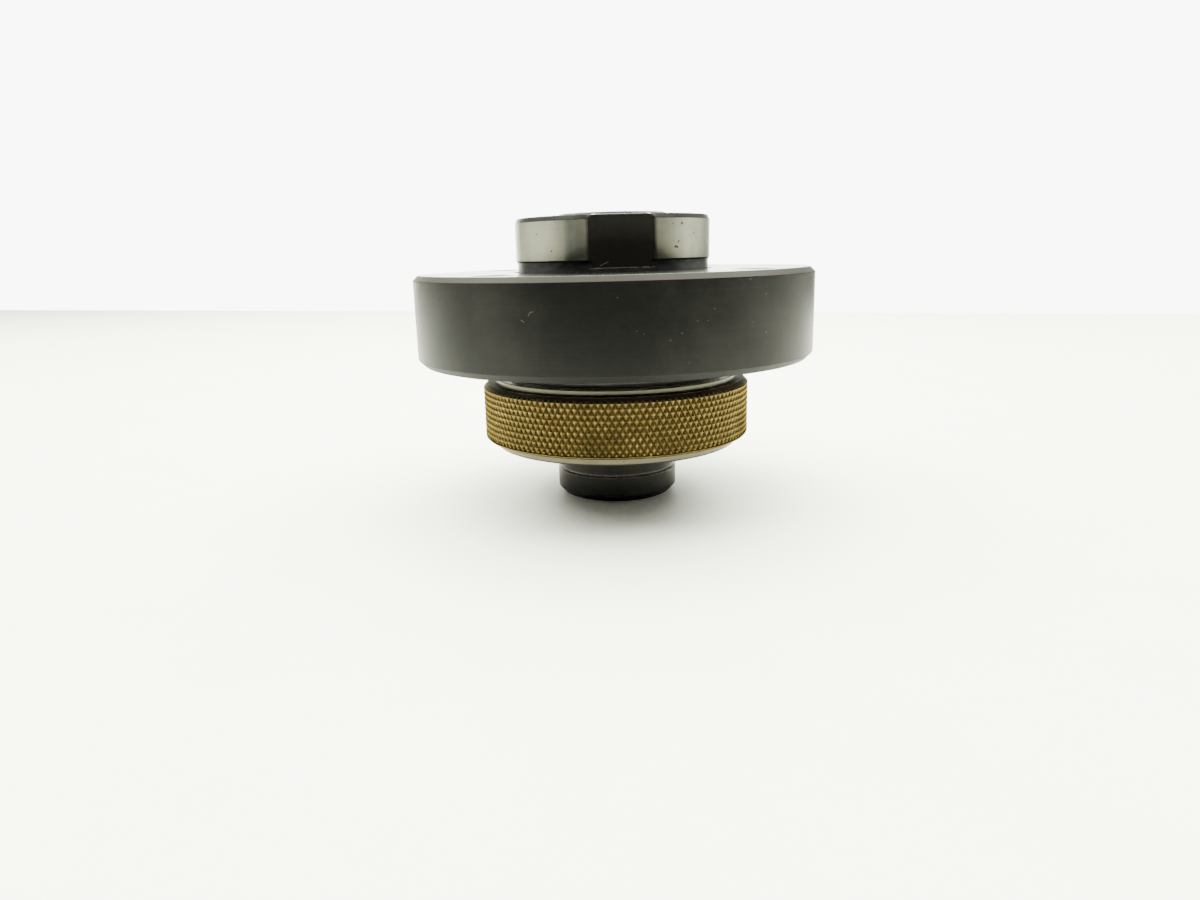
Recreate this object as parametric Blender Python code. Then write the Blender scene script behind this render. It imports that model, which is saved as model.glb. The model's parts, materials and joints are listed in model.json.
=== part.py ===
"""Quick-change tool holder adapter with a ball lock.

The adapter stands on its nose: the nose's end face is the plane z = 0 and +Z runs up the axis to the
machine's side. The flange is bolted to the machine and centred by its pilot. A tool shank enters the
socket in the nose, lifts the sprung ejector plunger, and is held by four balls in its groove. The
locking sleeve stands over the balls. Lifted towards the flange, its taper lets the balls move out.
"""

import math

import bmesh
import bpy

MM = 0.001

# Gaps between neighbours
SEAT_GAP = 0.3 * MM
SLIDE_GAP = 0.4 * MM

# Flange
FLANGE_DIAMETER = 100.0 * MM
FLANGE_THICKNESS = 21.7 * MM
FLANGE_TOP_CHAMFER = 1.25 * MM
FLANGE_BOTTOM_CHAMFER = 1.5 * MM
BOLT_COUNT = 4
BOLT_HOLE_DIAMETER = 9.0 * MM
BOLT_HEAD_DIAMETER = 13.6 * MM
BOLT_HEAD_DEPTH = 8.6 * MM
BOLT_RIM_WALL = 2.2 * MM
RECESS_DEPTH = 13.5 * MM
COLLAR_LENGTH = 7.0 * MM
COLLAR_WALL = 1.8 * MM

# Pilot, its ground lead-in, the relief in its corner and the flat on its side
PILOT_DIAMETER = 48.7 * MM
PILOT_HEIGHT = 12.8 * MM
PILOT_LEAD_WIDTH = 0.5 * MM
PILOT_LEAD_HEIGHT = 1.1 * MM
RELIEF_HEIGHT = 2.65 * MM
RELIEF_DEPTH = 0.35 * MM
FACE_RELIEF_WIDTH = 0.8 * MM
FACE_RELIEF_DEPTH = 0.3 * MM
FLAT_DEPTH = 1.25 * MM
FLAT_FOOT = 0.85 * MM

# Nose, neck and hub of the barrel, measured from the nose's end face
NOSE_REACH = 35.5 * MM
NOSE_DIAMETER = 31.2 * MM
NOSE_LENGTH = 6.7 * MM
NOSE_CHAMFER = 1.6 * MM
NECK_STEP = 0.55 * MM
HUB_LENGTH = 21.5 * MM
HUB_LIP = 1.6 * MM
EDGE_BREAK = 0.3 * MM

# Socket, ejector chamber and the press joint between barrel and flange
SOCKET_DIAMETER = 20.0 * MM
SOCKET_DEPTH = 38.0 * MM
SOCKET_CHAMFER = 1.0 * MM
CHAMBER_STEP = 2.3 * MM
BARREL_WALL = 3.0 * MM
JOINT_DOWEL_DIAMETER = 4.0 * MM
JOINT_DOWEL_LENGTH = 13.5 * MM

# Ball lock
BALL_COUNT = 4
BALL_DIAMETER = 12.0 * MM
BALL_GRIP = 1.8 * MM
BALL_PROUD = 1.2 * MM
SLEEVE_TRAVEL = 4.0 * MM
TAPER_LAND = 1.6 * MM

# Locking sleeve and grip ring
SKIRT_WALL = 4.8 * MM
SKIRT_OVERHANG = 0.35 * MM
RIM_WALL = 3.7 * MM
RIM_EDGE = 0.5 * MM
RIM_GROOVE_SPARE = 0.5 * MM
GRIP_WALL = 2.75 * MM
GRIP_WIDTH = 14.15 * MM
RIM_PROUD = 1.27 * MM
GRIP_TOP_BEVEL = 1.2 * MM
GRIP_FOOT_BEVEL = 0.4 * MM
KNURL_COUNT = 72
KNURL_ROWS = 5
KNURL_DEPTH = 0.7 * MM

# Sleeve stop, spring and thrust washer
STOP_WASHER_THICKNESS = 1.6 * MM
STOP_SHOULDER = 2.2 * MM
CIRCLIP_THICKNESS = 1.4 * MM
CIRCLIP_DEPTH = 1.4 * MM
CIRCLIP_WIDTH = 3.0 * MM
CIRCLIP_LUG = 2.0 * MM
SPRING_WASHER_THICKNESS = 1.5 * MM
SLEEVE_SPRING_WIRE = 2.2 * MM
SLEEVE_SPRING_TURNS = 3.5

# Ejector
PLUNGER_HEAD = 6.0 * MM
PLUNGER_FLOOR = 3.5 * MM
PLUNGER_WALL = 2.4 * MM
PLUNGER_CHAMFER = 1.0 * MM
EJECTOR_SPRING_WIRE = 1.6 * MM
EJECTOR_SPRING_TURNS = 7.5

# Rear plug
PLUG_HEAD_DIAMETER = 27.4 * MM
PLUG_HEAD_THICKNESS = 3.7 * MM
PLUG_PROUD = 0.92 * MM
PLUG_EDGE = 0.35 * MM
PLUG_SHANK = 10.0 * MM
PLUG_HEX = 10.0 * MM
PLUG_HEX_DEPTH = 6.0 * MM
PLUG_SPRING_SEAT = 1.5 * MM

# Drive pin and seals
DRIVE_PIN_DIAMETER = 5.0 * MM
DRIVE_PIN_REACH = 2.0 * MM
SOCKET_SEAL_HEIGHT = 4.5 * MM
SOCKET_SEAL_CORD = 1.6 * MM
SOCKET_SEAL_PROUD = 0.25 * MM
SLEEVE_SEAL_DROP = 1.6 * MM
SEAL_CORD = 1.4 * MM

# Number of flats that stand for a full circle
FINE_SIDES = 72
SLEEVE_SIDES = 56
BARREL_SIDES = 40
PLAIN_SIDES = 32
SMALL_SIDES = 20

# Radii worked out from the driving sizes
flange_radius = FLANGE_DIAMETER / 2
pilot_radius = PILOT_DIAMETER / 2
nose_radius = NOSE_DIAMETER / 2
socket_radius = SOCKET_DIAMETER / 2
ball_radius = BALL_DIAMETER / 2
plug_head_radius = PLUG_HEAD_DIAMETER / 2
ball_locked = socket_radius - BALL_GRIP + ball_radius
hub_radius = ball_locked + ball_radius - BALL_PROUD
land_radius = hub_radius + SLIDE_GAP
chamber_radius = socket_radius + CHAMBER_STEP
plug_seat_radius = plug_head_radius + SEAT_GAP
shank_radius = plug_seat_radius + BARREL_WALL
bolt_radius = flange_radius - BOLT_RIM_WALL - BOLT_HEAD_DIAMETER / 2
circlip_groove_radius = hub_radius - CIRCLIP_DEPTH
socket_groove_radius = socket_radius - SOCKET_SEAL_PROUD + SOCKET_SEAL_CORD + SEAT_GAP
plug_shank_radius = chamber_radius - SEAT_GAP
plug_groove_radius = plug_shank_radius - SEAL_CORD - SEAT_GAP
plunger_bore_radius = socket_radius - SLIDE_GAP - PLUNGER_WALL
joint_radius = shank_radius + SEAT_GAP / 2

# Heights above the nose's end face
flange_underside = NOSE_REACH
machine_face = flange_underside + FLANGE_THICKNESS
pilot_top = machine_face + PILOT_HEIGHT
recess_ceiling = flange_underside + RECESS_DEPTH
collar_foot = flange_underside - COLLAR_LENGTH
hub_foot = flange_underside - HUB_LENGTH
hub_top = recess_ceiling - SEAT_GAP
circlip_foot = hub_foot + HUB_LIP + SEAT_GAP
stop_washer_foot = circlip_foot + CIRCLIP_THICKNESS + SEAT_GAP
stop_washer_top = stop_washer_foot + STOP_WASHER_THICKNESS
sleeve_shoulder = stop_washer_top + SEAT_GAP
ball_height = stop_washer_top + SEAT_GAP + ball_radius
sleeve_foot = hub_foot - SKIRT_OVERHANG
sleeve_top = flange_underside - SLEEVE_TRAVEL - SEAT_GAP
rim_groove_foot = collar_foot - SLEEVE_TRAVEL - RIM_GROOVE_SPARE
grip_top = sleeve_top - RIM_PROUD
grip_foot = grip_top - GRIP_WIDTH
plunger_foot = ball_height + ball_radius + SEAT_GAP
plunger_seat = SOCKET_DEPTH + SEAT_GAP
plunger_top = plunger_seat + PLUNGER_HEAD
plug_head_foot = pilot_top + PLUG_PROUD - PLUG_HEAD_THICKNESS
plug_foot = plug_head_foot - PLUG_SHANK
sleeve_seal_height = sleeve_top - SLEEVE_SEAL_DROP
plug_seal_height = plug_foot + PLUG_SHANK / 2
drive_pin_height = (NOSE_LENGTH + hub_foot) / 2

# The taper: how far a ball moves out for each unit that the sleeve moves up
taper_slope = BALL_GRIP / SLEEVE_TRAVEL
taper_length = math.hypot(1.0, taper_slope)
taper_radius_at_ball = ball_locked + (ball_radius + SEAT_GAP) * taper_length
taper_top = ball_height + (taper_radius_at_ball - land_radius) / taper_slope
taper_foot_radius = taper_radius_at_ball + taper_slope * (ball_height - sleeve_shoulder)
sleeve_web_top = taper_top + TAPER_LAND
stop_washer_radius = taper_foot_radius + STOP_SHOULDER
skirt_radius = stop_washer_radius + SLIDE_GAP
spring_washer_foot = sleeve_web_top + SEAT_GAP
spring_foot = spring_washer_foot + SPRING_WASHER_THICKNESS + SEAT_GAP

# The sleeve and what it carries, worked outwards from the skirt, then the collar inside its rim
sleeve_radius = skirt_radius + SKIRT_WALL
grip_bore_radius = sleeve_radius + SEAT_GAP
grip_radius = grip_bore_radius + GRIP_WALL
rim_bore_radius = sleeve_radius - RIM_WALL
collar_radius = rim_bore_radius - SLIDE_GAP
recess_radius = collar_radius - COLLAR_WALL
web_radius = recess_radius - SLIDE_GAP
sleeve_seal_radius = collar_radius + SEAT_GAP + SEAL_CORD / 2
seal_groove_radius = sleeve_seal_radius + SEAL_CORD / 2 + SEAT_GAP
spring_radius = (hub_radius + recess_radius) / 2

for old in list(bpy.data.objects):
    bpy.data.objects.remove(old, do_unlink=True)


def finish(name, colour, roughness, metallic):
    """A Principled material with one colour."""
    material = bpy.data.materials.new(name)
    material.use_nodes = True
    shader = material.node_tree.nodes["Principled BSDF"]
    shader.inputs["Base Color"].default_value = (*colour, 1.0)
    shader.inputs["Roughness"].default_value = roughness
    shader.inputs["Metallic"].default_value = metallic
    material.diffuse_color = (*colour, 1.0)
    return material


def add_object(name, mesh, location=(0.0, 0.0, 0.0), parent=None):
    """Link a mesh or curve to the scene as a named object."""
    thing = bpy.data.objects.new(name, mesh)
    bpy.context.scene.collection.objects.link(thing)
    thing.location = location
    thing.parent = parent
    return thing


def add_empty(name, location, parent=None):
    """An empty that marks a joint's axis and carries what moves there."""
    empty = bpy.data.objects.new(name, None)
    bpy.context.scene.collection.objects.link(empty)
    empty.location = location
    empty.parent = parent
    return empty


def dress(thing, material):
    """Give a piece its material and smooth its round faces."""
    thing.data.materials.append(material)
    if thing.type == "MESH":
        thing.data.shade_smooth()
        thing.data.set_sharp_from_angle(angle=math.radians(30.0))
    return thing


def turned_mesh(name, outline, sides):
    """Turn an outline of (radius, height) points about Z.

    An outline whose ends lie on the axis makes a solid piece, any other one is closed into a ring.
    """
    bm = bmesh.new()
    verts = [bm.verts.new((radius, 0.0, height)) for radius, height in outline]
    on_axis = outline[0][0] == 0.0
    follow = verts[1:] if on_axis else verts[1:] + verts[:1]
    edges = [bm.edges.new(pair) for pair in zip(verts, follow)]
    bmesh.ops.spin(
        bm, geom=verts + edges, cent=(0.0, 0.0, 0.0), axis=(0.0, 0.0, 1.0),
        angle=math.tau, steps=sides, use_merge=True,
    )
    bmesh.ops.remove_doubles(bm, verts=bm.verts, dist=0.001 * MM)
    bmesh.ops.recalc_face_normals(bm, faces=bm.faces)
    mesh = bpy.data.meshes.new(name)
    bm.to_mesh(mesh)
    bm.free()
    return mesh


def rod_outline(radius, foot, top, chamfer=0.0):
    """Outline of a plain round rod, with or without chamfered ends."""
    if chamfer == 0.0:
        return [(0.0, foot), (radius, foot), (radius, top), (0.0, top)]
    return [
        (0.0, foot), (radius - chamfer, foot), (radius, foot + chamfer),
        (radius, top - chamfer), (radius - chamfer, top), (0.0, top),
    ]


def washer_outline(inner, outer, thickness):
    """Outline of a flat washer that stands on z = 0."""
    return [(inner, 0.0), (outer, 0.0), (outer, thickness), (inner, thickness)]


def seal_outline(radius, cord, sides=6):
    """Round section of an O-ring about its middle height."""
    steps = [math.tau * step / sides for step in range(sides)]
    return [(radius + cord / 2 * math.cos(a), cord / 2 * math.sin(a)) for a in steps]


def extruded_mesh(name, corners, height):
    """A flat outline of (x, y) corners on z = 0, extruded up."""
    bm = bmesh.new()
    face = bm.faces.new([bm.verts.new((x, y, 0.0)) for x, y in corners])
    lifted = bmesh.ops.extrude_face_region(bm, geom=[face])
    top = [item for item in lifted["geom"] if isinstance(item, bmesh.types.BMVert)]
    bmesh.ops.translate(bm, verts=top, vec=(0.0, 0.0, height))
    bmesh.ops.recalc_face_normals(bm, faces=bm.faces)
    mesh = bpy.data.meshes.new(name)
    bm.to_mesh(mesh)
    bm.free()
    return mesh


def ring_of_verts(bm, radii, height, count):
    """Vertices round the axis at one height, whose radii repeat in turn."""
    ring = []
    for step in range(count):
        radius = radii[step % len(radii)]
        angle = math.tau * step / count
        ring.append(bm.verts.new((radius * math.cos(angle), radius * math.sin(angle), height)))
    return ring


def knurl_band(bm, outer, foot, top):
    """Rows of diamonds round the axis, as (lowest row, highest row) of vertices.

    The grooves run both ways round the band. They cross at every second vertex of a row. The vertices
    between are the points of the diamonds, and they stand half a tooth further on in the next row.
    """
    groove = outer - KNURL_DEPTH
    count = 2 * KNURL_COUNT
    rows = []
    for row in range(KNURL_ROWS + 1):
        radii = (groove, outer) if row % 2 == 0 else (outer, groove)
        rows.append(ring_of_verts(bm, radii, foot + (top - foot) * row / KNURL_ROWS, count))
    for row, (low, high) in enumerate(zip(rows, rows[1:])):
        for step in range(count):
            after = (step + 1) % count
            if (row + step) % 2 == 0:
                bm.faces.new((low[step], low[after], high[after]))
                bm.faces.new((low[step], high[after], high[step]))
            else:
                bm.faces.new((low[step], low[after], high[step]))
                bm.faces.new((low[after], high[after], high[step]))
    return rows[0], rows[-1]


def knurled_mesh(name, outline):
    """A ring with a knurled band: the outline's (radius, height) points run round from the band's top.

    The outline starts at the band's top edge and ends at its foot edge, and turns about Z between them.
    """
    bm = bmesh.new()
    outer, top = outline[0]
    foot = outline[-1][1]
    band_foot, band_top = knurl_band(bm, outer, foot, top)
    rings = [ring_of_verts(bm, (radius,), height, KNURL_COUNT) for radius, height in outline[1:-1]]
    for step in range(KNURL_COUNT):
        after = (step + 1) % KNURL_COUNT
        for one, other in zip(rings, rings[1:]):
            bm.faces.new((one[step], one[after], other[after], other[step]))
        for band, ring in ((band_top, rings[0]), (band_foot, rings[-1])):
            near, middle, far = band[2 * step], band[2 * step + 1], band[2 * after]
            bm.faces.new((ring[step], near, middle))
            bm.faces.new((ring[step], middle, ring[after]))
            bm.faces.new((ring[after], middle, far))
    bmesh.ops.recalc_face_normals(bm, faces=bm.faces)
    mesh = bpy.data.meshes.new(name)
    bm.to_mesh(mesh)
    bm.free()
    return mesh


def cutter(name, mesh, location=(0.0, 0.0, 0.0), rotation=(0.0, 0.0, 0.0), parent=None):
    """A hidden tool for Boolean cuts."""
    tool = add_object(name, mesh, location, parent)
    tool.rotation_euler = rotation
    tool.hide_render = True
    tool.display_type = "WIRE"
    return tool


def cut(piece, tool):
    """Take a tool away from a piece."""
    step = piece.modifiers.new(tool.name, "BOOLEAN")
    step.operation = "DIFFERENCE"
    step.solver = "EXACT"
    step.object = tool


def around(count, radius, height, start=0.0):
    """Even places around the axis, each with its angle."""
    for index in range(count):
        angle = start + math.tau * index / count
        yield index + 1, angle, (radius * math.cos(angle), radius * math.sin(angle), height)


def coil_points(radius, wire, length, turns, per_turn):
    """Centre line of a compression spring that stands on z = 0, its end turns wound close."""
    end_turns = 0.75
    end_rise = end_turns * (wire + SEAT_GAP)
    middle_rise = length - wire - 2 * end_rise
    middle_turns = turns - 2 * end_turns
    count = round(turns * per_turn)
    for step in range(count + 1):
        turn = turns * step / count
        if turn < end_turns:
            height = end_rise * turn / end_turns
        elif turn > turns - end_turns:
            height = length - wire - end_rise * (turns - turn) / end_turns
        else:
            height = end_rise + middle_rise * (turn - end_turns) / middle_turns
        angle = math.tau * turn
        yield radius * math.cos(angle), radius * math.sin(angle), wire / 2 + height


def coil_spring(name, radius, wire, length, turns, per_turn, location, material, parent):
    """A spring as a bevelled curve."""
    curve = bpy.data.curves.new(name, "CURVE")
    curve.dimensions = "3D"
    curve.bevel_depth = wire / 2
    curve.bevel_resolution = 1
    curve.use_fill_caps = True
    points = list(coil_points(radius, wire, length, turns, per_turn))
    spline = curve.splines.new("POLY")
    spline.points.add(len(points) - 1)
    for point, place in zip(spline.points, points):
        point.co = (*place, 1.0)
    return dress(add_object(name, curve, location, parent), material)


black_oxide = finish("black_oxide", (0.035, 0.036, 0.036), 0.38, 0.75)
ground_steel = finish("ground_steel", (0.46, 0.46, 0.41), 0.32, 1.0)
bright_steel = finish("bright_steel", (0.56, 0.55, 0.50), 0.36, 1.0)
aged_brass = finish("aged_brass", (0.36, 0.26, 0.10), 0.42, 1.0)
ball_steel = finish("ball_steel", (0.62, 0.62, 0.62), 0.12, 1.0)
spring_steel = finish("spring_steel", (0.20, 0.20, 0.21), 0.35, 1.0)
seal_rubber = finish("seal_rubber", (0.02, 0.02, 0.02), 0.6, 0.0)

adapter = add_empty("adapter", (0.0, 0.0, 0.0))


def build_flange_body():
    """Flange and pilot in one piece, with the collar and the recess round the sleeve's spring."""
    ceiling = recess_ceiling - machine_face
    relief_radius = pilot_radius - RELIEF_DEPTH
    face_inner = pilot_radius + FACE_RELIEF_WIDTH
    outline = [
        (shank_radius + SEAT_GAP, ceiling),
        (recess_radius, ceiling),
        (recess_radius, -FLANGE_THICKNESS - COLLAR_LENGTH),
        (collar_radius - EDGE_BREAK, -FLANGE_THICKNESS - COLLAR_LENGTH),
        (collar_radius, -FLANGE_THICKNESS - COLLAR_LENGTH + EDGE_BREAK),
        (collar_radius, -FLANGE_THICKNESS),
        (flange_radius - FLANGE_BOTTOM_CHAMFER, -FLANGE_THICKNESS),
        (flange_radius, -FLANGE_THICKNESS + FLANGE_BOTTOM_CHAMFER),
        (flange_radius, -FLANGE_TOP_CHAMFER),
        (flange_radius - FLANGE_TOP_CHAMFER, 0.0),
        (face_inner, 0.0),
        (face_inner, -FACE_RELIEF_DEPTH),
        (relief_radius, -FACE_RELIEF_DEPTH),
        (relief_radius, RELIEF_HEIGHT - RELIEF_DEPTH),
        (pilot_radius, RELIEF_HEIGHT),
        (pilot_radius, PILOT_HEIGHT - PILOT_LEAD_HEIGHT),
        (pilot_radius - PILOT_LEAD_WIDTH, PILOT_HEIGHT),
        (shank_radius + SEAT_GAP, PILOT_HEIGHT),
    ]
    mesh = turned_mesh("flange_body", outline, FINE_SIDES)
    body = add_object("flange_body", mesh, (0.0, 0.0, machine_face), adapter)

    overcut = 1.0 * MM
    half = pilot_radius
    corners = [
        (-half, -pilot_radius - overcut), (half, -pilot_radius - overcut),
        (half, -pilot_radius + FLAT_DEPTH), (-half, -pilot_radius + FLAT_DEPTH),
    ]
    flat_mesh = extruded_mesh("cut_pilot_flat", corners, PILOT_HEIGHT - FLAT_FOOT + overcut)
    cut(body, cutter("cut_pilot_flat", flat_mesh, (0.0, 0.0, machine_face + FLAT_FOOT)))

    hole_radius = BOLT_HOLE_DIAMETER / 2
    head_radius = BOLT_HEAD_DIAMETER / 2
    bolt_outline = [
        (0.0, -overcut), (head_radius, -overcut), (head_radius, BOLT_HEAD_DEPTH),
        (hole_radius, BOLT_HEAD_DEPTH), (hole_radius, FLANGE_THICKNESS + overcut),
        (0.0, FLANGE_THICKNESS + overcut),
    ]
    bolt_mesh = turned_mesh("cut_bolt", bolt_outline, SMALL_SIDES)
    half_pitch = math.pi / BOLT_COUNT
    half_flat = math.pi / SMALL_SIDES
    for number, angle, place in around(BOLT_COUNT, bolt_radius, flange_underside, half_pitch):
        cut(body, cutter(f"cut_bolt_{number}", bolt_mesh, place, (0.0, 0.0, angle + half_flat)))
    return dress(body, black_oxide)


def build_socket_barrel():
    """Hub with its ball pockets, neck, nose and the shank that is pressed into the flange."""
    neck_radius = nose_radius - NECK_STEP
    seal_low = SOCKET_SEAL_HEIGHT - SOCKET_SEAL_CORD / 2 - SEAT_GAP
    seal_high = SOCKET_SEAL_HEIGHT + SOCKET_SEAL_CORD / 2 + SEAT_GAP
    plug_seat = plug_head_foot - SEAT_GAP
    outline = [
        (nose_radius - NOSE_CHAMFER, 0.0),
        (nose_radius, NOSE_CHAMFER),
        (nose_radius, NOSE_LENGTH - EDGE_BREAK),
        (nose_radius - EDGE_BREAK, NOSE_LENGTH),
        (neck_radius, NOSE_LENGTH),
        (neck_radius, hub_foot),
        (hub_radius - EDGE_BREAK, hub_foot),
        (hub_radius, hub_foot + EDGE_BREAK),
        (hub_radius, circlip_foot - SEAT_GAP),
        (circlip_groove_radius, circlip_foot - SEAT_GAP),
        (circlip_groove_radius, stop_washer_foot),
        (hub_radius, stop_washer_foot),
        (hub_radius, hub_top),
        (shank_radius, hub_top),
        (shank_radius, pilot_top),
        (plug_seat_radius, pilot_top),
        (plug_seat_radius, plug_seat),
        (chamber_radius, plug_seat),
        (chamber_radius, SOCKET_DEPTH),
        (socket_radius, SOCKET_DEPTH),
        (socket_radius, seal_high),
        (socket_groove_radius, seal_high),
        (socket_groove_radius, seal_low),
        (socket_radius, seal_low),
        (socket_radius, SOCKET_CHAMFER),
        (socket_radius + SOCKET_CHAMFER, 0.0),
    ]
    mesh = turned_mesh("socket_barrel", outline, BARREL_SIDES)
    barrel = add_object("socket_barrel", mesh, parent=adapter)

    seat_radius = ball_radius + SEAT_GAP
    reach = hub_radius - ball_locked + 2 * ball_radius
    steps = 6
    arc = [math.pi / 2 * step / steps for step in range(1, steps)]
    pocket = [(0.0, -seat_radius)]
    pocket += [(seat_radius * math.sin(a), -seat_radius * math.cos(a)) for a in arc]
    pocket += [(seat_radius, 0.0), (seat_radius, reach), (0.0, reach)]
    pocket_mesh = turned_mesh("cut_pocket", pocket, SMALL_SIDES)
    for number, angle, place in around(BALL_COUNT, ball_locked, ball_height):
        outward = (0.0, math.pi / 2, angle)
        cut(barrel, cutter(f"cut_pocket_{number}", pocket_mesh, place, outward))

    pin_hole = rod_outline(DRIVE_PIN_DIAMETER / 2 + SEAT_GAP, 0.0, nose_radius)
    pin_mesh = turned_mesh("cut_drive_pin", pin_hole, SMALL_SIDES)
    sideways = (-math.pi / 2, 0.0, 0.0)
    cut(barrel, cutter("cut_drive_pin", pin_mesh, (0.0, 0.0, drive_pin_height), sideways))
    return dress(barrel, black_oxide)


def build_joint_dowel(flange, barrel):
    """The dowel in the press joint: half in the flange's pilot and half in the barrel's shank."""
    radius = JOINT_DOWEL_DIAMETER / 2
    foot = pilot_top - SEAT_GAP - JOINT_DOWEL_LENGTH
    overcut = 1.0 * MM
    hole = rod_outline(radius + SEAT_GAP, -SEAT_GAP, JOINT_DOWEL_LENGTH + SEAT_GAP + overcut)
    place = (0.0, joint_radius, foot)
    tool = cutter("cut_joint_dowel", turned_mesh("cut_joint_dowel", hole, SMALL_SIDES), place)
    cut(flange, tool)
    cut(barrel, tool)
    outline = rod_outline(radius, 0.0, JOINT_DOWEL_LENGTH, EDGE_BREAK)
    mesh = turned_mesh("joint_dowel", outline, SMALL_SIDES)
    return dress(add_object("joint_dowel", mesh, place, adapter), ground_steel)


def build_drive_pin():
    """The pin that reaches into the socket and drives the tool shank by its keyway."""
    inner = socket_radius - DRIVE_PIN_REACH
    outer = nose_radius - NECK_STEP - SEAT_GAP
    outline = rod_outline(DRIVE_PIN_DIAMETER / 2, 0.0, outer - inner, EDGE_BREAK)
    mesh = turned_mesh("drive_pin", outline, SMALL_SIDES)
    pin = add_object("drive_pin", mesh, (0.0, inner, drive_pin_height), adapter)
    pin.rotation_euler = (-math.pi / 2, 0.0, 0.0)
    return dress(pin, ground_steel)


def build_stop():
    """The circlip in the hub's groove and the washer that it holds under the sleeve's shoulder."""
    outline = washer_outline(land_radius, stop_washer_radius, STOP_WASHER_THICKNESS)
    mesh = turned_mesh("stop_washer", outline, PLAIN_SIDES)
    washer = add_object("stop_washer", mesh, (0.0, 0.0, stop_washer_foot), adapter)
    dress(washer, spring_steel)

    inner = circlip_groove_radius + SEAT_GAP
    outer = inner + CIRCLIP_WIDTH
    half_gap = math.radians(9.0)
    half_lug = math.radians(7.0)
    sides = 30
    sweep = [half_gap + (math.tau - 2 * half_gap) * step / sides for step in range(sides + 1)]
    lug = outer + CIRCLIP_LUG
    corners = [(lug * math.cos(a), lug * math.sin(a)) for a in (half_gap, half_gap + half_lug)]
    corners += [(outer * math.cos(a), outer * math.sin(a)) for a in sweep[1:-1]]
    far = math.tau - half_gap
    corners += [(lug * math.cos(a), lug * math.sin(a)) for a in (far - half_lug, far)]
    corners += [(inner * math.cos(a), inner * math.sin(a)) for a in reversed(sweep)]
    circlip = add_object(
        "sleeve_circlip", extruded_mesh("sleeve_circlip", corners, CIRCLIP_THICKNESS),
        (0.0, 0.0, circlip_foot), adapter,
    )
    dress(circlip, spring_steel)


def build_sleeve():
    """The locking sleeve: a skirt over the stop, the taper on the balls and a rim round the collar."""
    carrier = add_empty("sleeve_carrier", (0.0, 0.0, sleeve_foot), adapter)
    seal_low = sleeve_seal_height - SEAL_CORD / 2 - SEAT_GAP - sleeve_foot
    seal_high = sleeve_seal_height + SEAL_CORD / 2 + SEAT_GAP - sleeve_foot
    top = sleeve_top - sleeve_foot
    web_top = sleeve_web_top - sleeve_foot
    shoulder = sleeve_shoulder - sleeve_foot
    outline = [
        (skirt_radius, 0.0),
        (sleeve_radius - EDGE_BREAK, 0.0),
        (sleeve_radius, EDGE_BREAK),
        (sleeve_radius, top - RIM_EDGE),
        (sleeve_radius - RIM_EDGE, top),
        (rim_bore_radius, top),
        (rim_bore_radius, seal_high),
        (seal_groove_radius, seal_high),
        (seal_groove_radius, seal_low),
        (rim_bore_radius, seal_low),
        (rim_bore_radius, rim_groove_foot - sleeve_foot),
        (web_radius, rim_groove_foot - sleeve_foot),
        (web_radius, web_top),
        (land_radius, web_top),
        (land_radius, taper_top - sleeve_foot),
        (taper_foot_radius, shoulder),
        (skirt_radius, shoulder),
    ]
    mesh = turned_mesh("locking_sleeve", outline, SLEEVE_SIDES)
    sleeve = add_object("locking_sleeve", mesh, parent=carrier)
    dress(sleeve, bright_steel)

    seal_mesh = turned_mesh("sleeve_o_ring", seal_outline(sleeve_seal_radius, SEAL_CORD), PLAIN_SIDES)
    seal = add_object("sleeve_o_ring", seal_mesh, (0.0, 0.0, sleeve_seal_height - sleeve_foot), carrier)
    dress(seal, seal_rubber)

    outline = washer_outline(land_radius, web_radius, SPRING_WASHER_THICKNESS)
    mesh = turned_mesh("spring_washer", outline, PLAIN_SIDES)
    washer = add_object("spring_washer", mesh, (0.0, 0.0, spring_washer_foot - sleeve_foot), carrier)
    dress(washer, spring_steel)
    return carrier


def build_grip_ring(carrier):
    """The brass ring pressed on the sleeve, with its diamond knurl between two bevels."""
    outline = [
        (grip_radius, GRIP_WIDTH - GRIP_TOP_BEVEL),
        (grip_radius - GRIP_TOP_BEVEL, GRIP_WIDTH),
        (grip_bore_radius, GRIP_WIDTH),
        (grip_bore_radius, 0.0),
        (grip_radius - GRIP_FOOT_BEVEL, 0.0),
        (grip_radius, GRIP_FOOT_BEVEL),
    ]
    mesh = knurled_mesh("grip_ring", outline)
    ring = add_object("grip_ring", mesh, (0.0, 0.0, grip_foot - sleeve_foot), carrier)
    ring.data.materials.append(aged_brass)
    return ring


def build_balls():
    """The locking balls, each with its origin at its centre."""
    steps = 8
    arc = [math.pi * step / steps for step in range(steps + 1)]
    outline = [(ball_radius * math.sin(a), -ball_radius * math.cos(a)) for a in arc]
    outline[0] = (0.0, -ball_radius)
    outline[-1] = (0.0, ball_radius)
    mesh = turned_mesh("lock_ball", outline, SMALL_SIDES)
    mesh.materials.append(ball_steel)
    mesh.shade_smooth()
    for number, _, place in around(BALL_COUNT, ball_locked, ball_height):
        add_object(f"lock_ball_{number}", mesh, place, adapter)


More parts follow.
